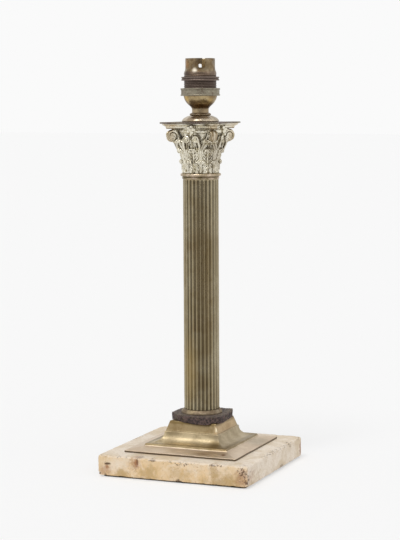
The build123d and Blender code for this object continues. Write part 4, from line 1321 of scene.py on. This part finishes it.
def stem(angle, seed):
    """A ribbed stalk between two upper leaves, with a collar, and a lobed cup where the scrolls leave.

    Each ring is an ellipse of half widths r and 0.75 r, where r is its size times 1 + 0.1 cos(8a) round the
    angle a, and the cup's rim rises and falls by 0.7 cos(5a).
    """
    # how far out its middle is, the height and the size
    rows = [(15.7, 262, 1.1), (15.9, 268, 1.2), (16.2, 272, 1.35), (16.4, 273.6, 1.5)]
    rows += [(16.5, 274.2, 2.1), (16.6, 275.4, 1.6), (16.8, 276.4, 2.0), (17.3, 278.8, 2.9)]
    rows += [(17.7, 280.6, 3.5), (17.6, 280.3, 2.6), (17.3, 279.0, 0.0)]
    out, height, size = (np.array(column)[:, None] for column in zip(*rows))
    around = round_angles(40)[None, :]
    wide = size * (1 + 0.1 * np.cos(8 * around) * step(size, 0.5, 1.2))
    lobed = height + 0.7 * np.cos(5 * around) * step(height, 278.5, 280.5)
    points = placed(out + wide * np.cos(around) * 0.75, wide * np.sin(around), lobed, angle)
    points += 0.1 * hills(points, 2.5, seed)[..., None]
    foot = points[:1].mean(axis=1, keepdims=True) + 0 * points[:1]
    worn = np.clip(0.55 + 0.4 * np.cos(8 * around), 0, 1)
    return sheet(np.concatenate([foot, points]), worn, close_rows=False)


class LAMP_OT_scrolls(bpy.types.Operator):
    """The capital's scrolls: a pair under each horn and a pair in the middle of each side, on ribbed stems"""

    bl_idname = "lamp.scrolls"
    bl_label = "Capital scrolls"

    def execute(self, context):
        corners, sides = [], []
        for corner in CORNER_ANGLES:
            corners += [corner_scroll(corner, side) for side in (1, -1)]
            across = placed(0, 1, 0, corner)
            eye = placed(CORNER_CENTRE[0], 0, CORNER_CENTRE[1], corner)
            corners.append(boss(eye, across, 1.3, 3.3, 0.9))
            corners.append(boss(eye, across, CORNER_RADIUS + 0.2, 2.7, 0.45, ribs=5))
            knob = placed(KNOB_CENTRE[0], 0, KNOB_CENTRE[1], corner)
            corners.append(boss(knob, across, 2.6, 3.0, 0.5, ribs=4))
        for face in FACE_ANGLES:
            sides += [side_scroll(face, side) for side in (1, -1)]
            out = placed(1, 0, 0, face)
            for side in (1, -1):
                eye = placed(SIDE_OUT, -SIDE_CENTRE[0] * side, SIDE_CENTRE[1], face)
                sides.append(boss(eye, out, 0.8, 2.1, 0.9))
                sides.append(boss(eye, out, SIDE_RADIUS, 0.9, 0.15))
        stems = [stem(angle, 80 + k) for k, angle in enumerate(LOWER_ANGLES)]
        carved("corner_scrolls", corners, 60)
        carved("side_scrolls", sides, 60)
        carved("scroll_stems", stems, 60)
        return {"FINISHED"}


FLOWER_CENTRE, FLOWER_RADIUS = (21.9, 297.2), 4.3


def flower(face, seed):
    """A five petalled flower standing on the middle of one side of the abacus.

    Its radius is R (0.72 + 0.28 |cos(5a/2)|^0.8) round the angle a, its petals are domed, and a bud fills
    the middle.
    """
    around = round_angles(50)[None, :]
    share = np.array([0.0, 0.12, 0.25, 0.36, 0.5, 0.68, 0.85, 1.0, 0.96, 0.6, 0.0])[:, None]
    level = np.array([3.0, 2.9, 2.5, 1.5, 1.7, 1.9, 1.6, 0.7, 0.1, -1.2, -1.2])[:, None]
    petals = 0.72 + 0.28 * np.abs(np.cos(2.5 * around)) ** 0.8
    outline = np.where(share > 0.36, petals, 1.0)
    reach = FLOWER_RADIUS * share * outline
    crease = 0.5 * (1 - np.abs(np.cos(2.5 * around)) ** 0.5) * step(share, 0.3, 0.7)
    out = FLOWER_CENTRE[0] + level * 0.8 - crease
    points = placed(out, reach * np.cos(around), FLOWER_CENTRE[1] + reach * np.sin(around), face)
    points += 0.1 * hills(points, 1.6, seed)[..., None]
    worn = np.clip(0.95 - 1.6 * crease - 0.6 * np.exp(-(((share - 0.36) / 0.07) ** 2)), 0, 1)
    return sheet(points, worn, close_rows=False)


ABACUS_BEADS = 20  # along each side


class LAMP_OT_abacus(bpy.types.Operator):
    """The capital's moulded top with four hollow sides and cut-off horns, and a flower on each side"""

    bl_idname = "lamp.abacus"
    bl_label = "Abacus"

    def execute(self, context):
        high = top("capital")
        reach, horn, waist = 34.8, 4.4, 21.6
        near, far = (reach - horn / 2) / sqrt(2), (reach + horn / 2) / sqrt(2)
        sag = far - waist
        sweep = (near**2 + sag**2) / (2 * sag)
        half_turn = np.arcsin(near / sweep)
        turn = np.linspace(-half_turn, half_turn, 40)
        side = np.stack([waist + sweep - sweep * np.cos(turn), sweep * np.sin(turn)], axis=1)
        plan = np.concatenate([side @ np.array([[cos(q), sin(q)], [-sin(q), cos(q)]]) for q in FACE_ANGLES])
        plan, _ = finely(*softened(plan, 0.35, steps=2), 0.9)
        direction = plan / np.linalg.norm(plan, axis=1, keepdims=True)
        low = 297.8
        section = [(1.0, high), (1.0, high - 0.9), (0.985, high - 1.1), (0.955, high - 1.7)]
        section += [(0.92, high - 2.4), (0.915, high - 3.0), (0.91, high - 3.3), (0.905, high - 3.5)]
        section += [(0.9, low)]
        scale, level = np.array(section).T
        beads = np.abs(np.sin(pi * np.arange(len(plan)) / len(plan) * 4 * ABACUS_BEADS))
        beaded = 1 - 0.035 * (1 - beads[None, :, None]) * step(scale, 0.95, 0.92)[:, None, None]
        outer = scale[:, None, None] * beaded * plan[None]
        inner = CAPITAL_BORE * direction[None]
        flat = np.concatenate([inner, outer, inner])[::-1]
        levels = np.concatenate([[high], level, [low]])[::-1]
        points = raised(flat, levels)
        out = np.hypot(points[..., 0], points[..., 1])
        points[..., 2] -= 0.12 * (1 + hills(points, 7, 91)) * step(out, 16, 24)
        worn = np.array([0.2, 0.1, 0.2, 0.6, 0.95, 0.85, 0.6, 0.3, 0.9, 0.8, 0.3])
        carved("abacus", [sheet(points, worn[:, None])], 35)
        carved("abacus_flowers", [flower(face, 95 + k) for k, face in enumerate(FACE_ANGLES)])
        return {"FINISHED"}


# ---------------------------------------------------------------- plate, bun and lock ring
class LAMP_OT_cap_plates(bpy.types.Operator):
    """The thin square plate over the capital, the turned bun on it and the lock ring"""

    bl_idname = "lamp.cap_plates"
    bl_label = "Top plate, bun and lock ring"

    def execute(self, context):
        (_, _, low), (half, _, high) = span("top_plate")
        corners = [(ROD_HOLE, low), (half, low), (half, high), (ROD_HOLE, high)]
        outline, stands = finely(*softened(corners, 0.35, steps=3), 3.0)
        points, normal = squared(outline, step(12 - outline[:, 0], 0, 5), 0.9, 30, 5)
        reach = np.abs(points[..., 0] + points[..., 1]) / (2 * half)
        points[..., 2] += 0.3 * step(reach, 0.6, 1.0) * hills(points, 40, 101)
        points[..., :2] += (0.12 * hills(points, 11, 102) - 0.12)[..., None] * normal
        build("square_plate", [sheet(points, 0.5 + 0.5 * stands[:, None])], "plate_brass", "top_plate")

        (_, _, low), (reach, _, high) = span("bun_cap")
        corners = [(SCREWED_HOLE, low), (reach - 0.7, low), (reach, low + 0.7), (reach - 0.4, low + 1.9)]
        corners += [(reach - 2.1, low + 3.6), (reach - 4.4, low + 4.7), (reach - 5.9, high)]
        corners += [(SCREWED_HOLE, high)]
        radii = [0.1, 0.5, 0.7, 1.0, 1.6, 1.6, 0.5, 0.1]
        turning("bun_turning", corners, radii, "bun_brass", "bun_cap", 128, 0.05, 103, steps=6)

        (_, _, low), (reach, _, high) = span("lock_ring")
        corners = [(SCREWED_HOLE, low), (reach - 0.7, low), (reach, low + 0.8), (reach, high - 1.0)]
        corners += [(reach - 1.3, high), (SCREWED_HOLE, high)]
        radii = [0.1, 0.5, 0.4, 0.4, 0.5, 0.1]
        turning("lock_turning", corners, radii, "lock_brass", "lock_ring", 96, 0.05, 104)
        return {"FINISHED"}


# ---------------------------------------------------------------- lampholder
CAP_BORE = 13.4
BARREL_BORE, SOCKET_BORE = 12.9, 11.6
HOLDER_TURN = radians(22.4)
THREAD_RADIUS = 14.1


class LAMP_OT_lampholder_cap(bpy.types.Operator):
    """The lampholder's neck and dome"""

    bl_idname = "lamp.lampholder_cap"
    bl_label = "Lampholder cap"

    def execute(self, context):
        (_, _, low), (rim, _, high) = span("lampholder_cap")
        neck, floor, ledge = 7.25, 319.0, bottom("insulator")
        corners = [(SCREWED_HOLE, low), (neck + 0.1, low), (neck, low + 0.5), (neck, low + 3.4)]
        corners += [(neck + 0.5, 315.6), (9.2, 317.2), (11.5, 319.2), (13.4, 322.0), (14.4, 325.0)]
        corners += [(rim, 327.0), (rim, high), (CAP_BORE, high), (CAP_BORE, ledge), (11.4, ledge)]
        corners += [(11.4, floor + 3), (SCREWED_HOLE, floor)]
        turning("holder_dome", corners, 1.3, "holder_brass", "lampholder_cap", 128, 0.06, 111, steps=5)
        return {"FINISHED"}


class LAMP_OT_holder_rings(bpy.types.Operator):
    """The two screwed rings: the flanged one that clamps the barrel, and the thin one that clamps a shade"""

    bl_idname = "lamp.holder_rings"
    bl_label = "Lampholder rings"

    def execute(self, context):
        (_, _, low), (reach, _, high) = span("cap_ring")
        thread, lip, lip_bottom = 14.75, 14.25, 331.17
        waist = reach - 0.55
        corners = [(thread, low), (reach - 0.6, low), (reach, low + 0.35), (reach, low + 1.0)]
        corners += [(waist, low + 1.5), (waist, high - 1.7), (reach, high - 1.2), (reach, high - 0.2)]
        corners += [(lip, high), (lip, lip_bottom), (thread, lip_bottom)]
        ring = turned(*finely(*softened(corners, 0.25), 0.7), 160, 0.08, 121)
        build("clamp_ring", [ring], "ring_brass", "cap_ring", body="cap_ring")

        (_, _, low), (reach, _, high) = span("shade_ring")
        bore, groove, middle = 14.25, reach - 0.8, (low + high) / 2
        corners = [(bore, low), (reach - 0.25, low), (reach, low + 0.5), (reach, low + 0.8), (groove, middle)]
        corners += [(reach, high - 0.8), (reach, high - 0.5), (reach - 0.25, high), (bore, high)]
        turning(
            "shade_clamp_ring", corners, 0.3, "shade_ring_brass", "shade_ring", 128, 0.07, 122,
            steps=3, body="shade_ring",
        )
        return {"FINISHED"}


class LAMP_OT_barrel(bpy.types.Operator):
    """The lampholder's barrel: a screwed lower part, a flare, and the thin socket with two bayonet slots"""

    bl_idname = "lamp.barrel"
    bl_label = "Lampholder barrel"

    def execute(self, context):
        shape = context.scene.lamp_shape
        (_, _, low), (flange, _, rim) = span("barrel")
        thread_low, thread_high, flare_top, radius = 331.3, 345.0, 349.4, 12.9
        pitch, depth = shape.thread_pitch / MM, shape.thread_depth / MM
        screw = np.arange(thread_low, thread_high, pitch / 6)
        outside = [(flange, low), (flange, thread_low - 0.3)] + [(THREAD_RADIUS, z) for z in screw]
        outside += [(THREAD_RADIUS - 0.1, 345.4), (13.75, 346.5), (13.1, 347.9), (radius, flare_top)]
        outside += [(radius - 0.05, z) for z in np.arange(flare_top + 0.9, rim - 0.2, 0.9)]
        inside = [(radius - 0.15, rim), (SOCKET_BORE + 0.1, rim), (SOCKET_BORE, rim - 0.2)]
        inside += [(SOCKET_BORE, z) for z in np.arange(rim - 1.2, flare_top + 0.3, -0.9)]
        inside += [(SOCKET_BORE, 349.6), (BARREL_BORE, 348.2), (BARREL_BORE, low)]
        outline = np.array(outside + inside)
        angle = round_angles(160)
        height = outline[:, 1:2] + 0 * angle
        turns = height / pitch - angle / (2 * pi)
        threaded = step(height, thread_low, thread_low + 0.8) * (outline[:, 0:1] > 13.9)
        threaded = threaded * (1 - step(height, thread_high - 1.2, thread_high))
        groove = threaded * (0.5 - 0.5 * np.cos(2 * pi * turns))
        points = polar(outline[:, 0:1] - depth * groove, angle, height)
        shift = 0.06 * hills(points, 6, 131) * (outline[:, 0:1] < 13.5)
        points[..., :2] *= (1 + shift / 13)[..., None]
        points[..., 2] += 0.16 * (hills(points, 7, 132) - 1) * step(points[..., 2], rim - 1.5, rim)
        worn = np.where(outline[:, 0:1] < 12.0, 1.0, 0.62 - 0.6 * groove)
        barrel = build("barrel_shell", [sheet(points, worn)], "barrel_brass", "barrel", sharp=50)
        for turn in (-pi / 2, pi / 2):
            drill(barrel, slot_cutter(turn + HOLDER_TURN, rim))
        finish_faces(barrel, "shade_ring_brass", lambda out, height: height < 342.9)
        finish_faces(barrel, "contact_brass", lambda out, height: (out < 12.1) & (height > 343.5))
        return {"FINISHED"}


def finish_faces(block, slot, test):
    """Gives another finish to the faces that a test picks by how far out and how high they are."""
    count = len(block.data.polygons)
    centres, index = np.empty(3 * count, np.float32), np.empty(count, np.int32)
    block.data.polygons.foreach_get("center", centres)
    block.data.polygons.foreach_get("material_index", index)
    centres = centres.reshape(-1, 3) / MM
    chosen = test(np.hypot(centres[:, 0], centres[:, 1]), centres[:, 2])
    index[chosen] = len(block.data.materials)
    block.data.materials.append(finish_of(slot))
    block.data.polygons.foreach_set("material_index", index)


def slot_cutter(angle, rim):
    """A bayonet slot as a closed prism: down from the rim, along the floor and up into the pin's hook."""
    half, entry, floor, hook = 1.25, 3.1, 349.9, 352.1
    left, right, shelf = entry - half, entry + half, floor + 2 * half
    corners = [(-half, floor), (right, floor), (right, rim + 2), (left, rim + 2), (left, shelf)]
    corners += [(half, shelf), (half, hook + half), (-half, hook + half)]
    plan, _ = softened(corners, [0.9, 0.9, 0.1, 0.1, 0.25, 0.25, 1.2, 1.2], steps=4)
    middle = plan.mean(axis=0)
    rings = [(0.0, 9.0), (1.0, 9.0), (1.0, 16.0), (0.0, 16.0)]
    points = [placed(out, *(middle + (plan - middle) * scale).T, angle) for scale, out in rings]
    return sheet(np.stack(points), close_rows=False)


class LAMP_OT_contacts(bpy.types.Operator):
    """The two contact pins with their coil springs, which shorten as the pins are pressed"""

    bl_idname = "lamp.contacts"
    bl_label = "Contact pins and springs"

    def execute(self, context):
        for side in ("left", "right"):
            low, high = span(f"plunger_{side}")
            centre = (low + high) / 2
            shoulder, shank = (high[0] - low[0]) / 2, 2.25
            seat, tip = low[2], high[2]
            corners = [(0, seat), (shoulder, seat), (shoulder, seat + 1.6), (shank, seat + 1.6)]
            corners += [(shank, tip - 0.9), (shank - 0.7, tip - 0.15), (0, tip)]
            pin = turned(*softened(corners, [0, 0.3, 0.3, 0.2, 0.5, 0.6, 0]), 36)
            pin.points[..., :2] += centre[:2]
            build(f"contact_pin_{side}", [pin], "contact_brass", f"plunger_{side}", body=f"plunger_{side}")
            self.coil(side, centre)
        return {"FINISHED"}

    def coil(self, side, centre):
        """A helix from the terminal up to the pin's shoulder, with a round wire carried along it."""
        low, high = span(f"spring_{side}")
        wire, turns = 0.3, 6.5
        radius = (high[0] - low[0]) / 2 - wire
        share = np.linspace(0, 1, 150)
        angle = share * turns * 2 * pi
        rise = low[2] + wire + (high[2] - low[2] - 2 * wire) * share
        line = polar(radius, angle, rise) + [centre[0], centre[1], 0]
        out, up = polar(1, angle, 0), np.array([0, 0, 1.0])
        round_wire = round_angles(8)[None, :, None]
        rings = line[:, None] + wire * (np.cos(round_wire) * out[:, None] + np.sin(round_wire) * up)
        wound = sheet(capped(line, rings), close_rows=False)
        spring = build(f"contact_spring_{side}", [wound], "steel", f"spring_{side}")
        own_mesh(spring)


KEPT_NODES = {
    "bottom_washer": "steel",
    "bottom_nut": "steel",
    "tie_rod": "rod_brass",
    "insulator": "porcelain",
    "terminal_left": "contact_brass",
    "terminal_right": "contact_brass",
    "terminal_screws": "contact_brass",
}


class LAMP_OT_kept_nodes(bpy.types.Operator):
    """The finish of the pieces whose CAD shape stays: the rod, its nut and washer, and the holder's inside"""

    bl_idname = "lamp.kept_nodes"
    bl_label = "Inner pieces"

    def execute(self, context):
        for node, slot in KEPT_NODES.items():
            slots = frame["nodes"][node].material_slots
            if not slots:
                raise RuntimeError(f"{node} has no material slot")
            for one in slots:
                one.material = finish_of(slot)
        return {"FINISHED"}


# ---------------------------------------------------------------- stage
CAMERA_PLACE = (0.5630, -1.3633, 0.3269)  # in metres, and its angles are in degrees
CAMERA_HEADING = 22.48
CAMERA_PITCH = 5.90
CAMERA_ROLL = -0.30
CAMERA_LENS = 113.24
ROOM_SIDE = Vector((0.58, -0.81, 0.05)).normalized()  # where the room that metal mirrors is dimmer
FLOOR_SIDE = 12.0  # half its width, in metres


class LAMP_OT_stage(bpy.types.Operator):
    """A plain white floor and surround, a broad main light, a fill, and a camera at the photograph's view"""

    bl_idname = "lamp.stage"
    bl_label = "Stage"

    def execute(self, context):
        scene = context.scene
        settings = scene.lamp_stage
        scene.view_settings.view_transform = "Standard"
        data = bpy.data.cameras.new("camera")
        data.lens = CAMERA_LENS
        camera = bpy.data.objects.new("camera", data)
        turn = Matrix.Rotation(radians(CAMERA_HEADING), 4, "Z")
        turn @= Matrix.Rotation(radians(90 - CAMERA_PITCH), 4, "X")
        turn @= Matrix.Rotation(radians(CAMERA_ROLL), 4, "Z")
        camera.matrix_world = Matrix.Translation(CAMERA_PLACE) @ turn
        context.collection.objects.link(camera)
        scene.camera = camera

        corners = [(x * FLOOR_SIDE, y * FLOOR_SIDE, 0) for x, y in ((-1, -1), (1, -1), (1, 1), (-1, 1))]
        floor_mesh = bpy.data.meshes.new("floor")
        floor_mesh.from_pydata(corners, [], [(0, 1, 2, 3)])
        floor_mesh.materials.append(floor_finish(settings))
        floor = bpy.data.objects.new("floor", floor_mesh)
        context.collection.objects.link(floor)

        scene.world = sky(settings)
        self.light("key", (-0.06, -0.5, 0.87), 25, settings.key)
        self.light("fill", (0.9, -0.35, 0.45), 60, settings.fill)
        return {"FINISHED"}

    def light(self, name, source, spread, strength):
        """A light from far away in the direction of source, as wide in the sky as spread in degrees."""
        data = bpy.data.lights.new(name, "SUN")
        data.angle = radians(spread)
        data.energy = strength
        light = bpy.data.objects.new(name, data)
        light.rotation_euler = Vector(source).to_track_quat("Z", "Y").to_euler()
        bpy.context.collection.objects.link(light)


def ray_kinds(shader, *kinds):
    """1 for rays of any of those kinds."""
    total = 0.0
    for kind in kinds:
        total = shader.node("ShaderNodeLightPath", output=f"Is {kind} Ray") + total
    return total.at_most(1.0)


def floor_finish(settings):
    """A white floor: half its brightness is its own, so that it stays even, and the rest takes the shadow."""
    shader = Shader("floor")
    lit = shader.node("ShaderNodeBsdfDiffuse", None, {"Color": settings.floor})
    own = shader.node("ShaderNodeEmission", None, {"Color": settings.floor, "Strength": 1.0})
    share = ray_kinds(shader, "Camera", "Glossy", "Transmission") * 0.5
    surface = shader.node("ShaderNodeMixShader", None, {0: share, 1: lit, 2: own})
    return shader.output(surface)


def sky(settings):
    """A white surround: full white to the camera, gentler where it lights the lamp, and dimmer in front.

    Metal mirrors the surround, so the room in front, towards the camera's left, is what gives it its darks.
    """
    shader = Shader("sky", world=True)
    room = shader.step(shader.vector("DOT_PRODUCT", shader.place, ROOM_SIDE, output="Value"), 0.55, 0.95)
    seen = ray_kinds(shader, "Camera", "Transmission")
    mirrored = ray_kinds(shader, "Glossy")
    lit = (1 - seen - mirrored) * settings.sky
    strength = seen + mirrored * (1 - room * (1 - settings.room)) + lit
    light = shader.node("ShaderNodeBackground", None, {"Color": settings.floor, "Strength": strength})
    return shader.output(light, "ShaderNodeOutputWorld")


# ---------------------------------------------------------------- add-on
OPERATORS = [
    LAMP_OT_stage,
    LAMP_OT_stone,
    LAMP_OT_baize,
    LAMP_OT_plinth,
    LAMP_OT_spacer,
    LAMP_OT_column,
    LAMP_OT_column_rings,
    LAMP_OT_bell,
    LAMP_OT_leaves,
    LAMP_OT_scrolls,
    LAMP_OT_abacus,
    LAMP_OT_cap_plates,
    LAMP_OT_lampholder_cap,
    LAMP_OT_holder_rings,
    LAMP_OT_barrel,
    LAMP_OT_contacts,
    LAMP_OT_kept_nodes,
]


class LAMP_PT_panel(bpy.types.Panel):
    """The lamp's settings, and a button for each group of pieces"""

    bl_idname = "LAMP_PT_panel"
    bl_label = "Column Lamp"
    bl_space_type = "VIEW_3D"
    bl_region_type = "UI"
    bl_category = "Lamp"

    def draw(self, context):
        for group, kind in GROUPS.items():
            box = self.layout.box()
            for setting in kind.__annotations__:
                box.prop(getattr(context.scene, group), setting)
        for operator in OPERATORS:
            self.layout.operator(operator.bl_idname)


CLASSES = [*GROUPS.values(), *OPERATORS, LAMP_PT_panel]


def register():
    for kind in CLASSES:
        bpy.utils.register_class(kind)
    for group, kind in GROUPS.items():
        setattr(bpy.types.Scene, group, PointerProperty(type=kind))


def unregister():
    for group in GROUPS:
        delattr(bpy.types.Scene, group)
    for kind in reversed(CLASSES):
        bpy.utils.unregister_class(kind)


def main():
    """Builds the stage and every piece."""
    register()
    for operator in OPERATORS:
        family, name = operator.bl_idname.split(".")
        getattr(getattr(bpy.ops, family), name)()


if __name__ == "__main__":
    main()
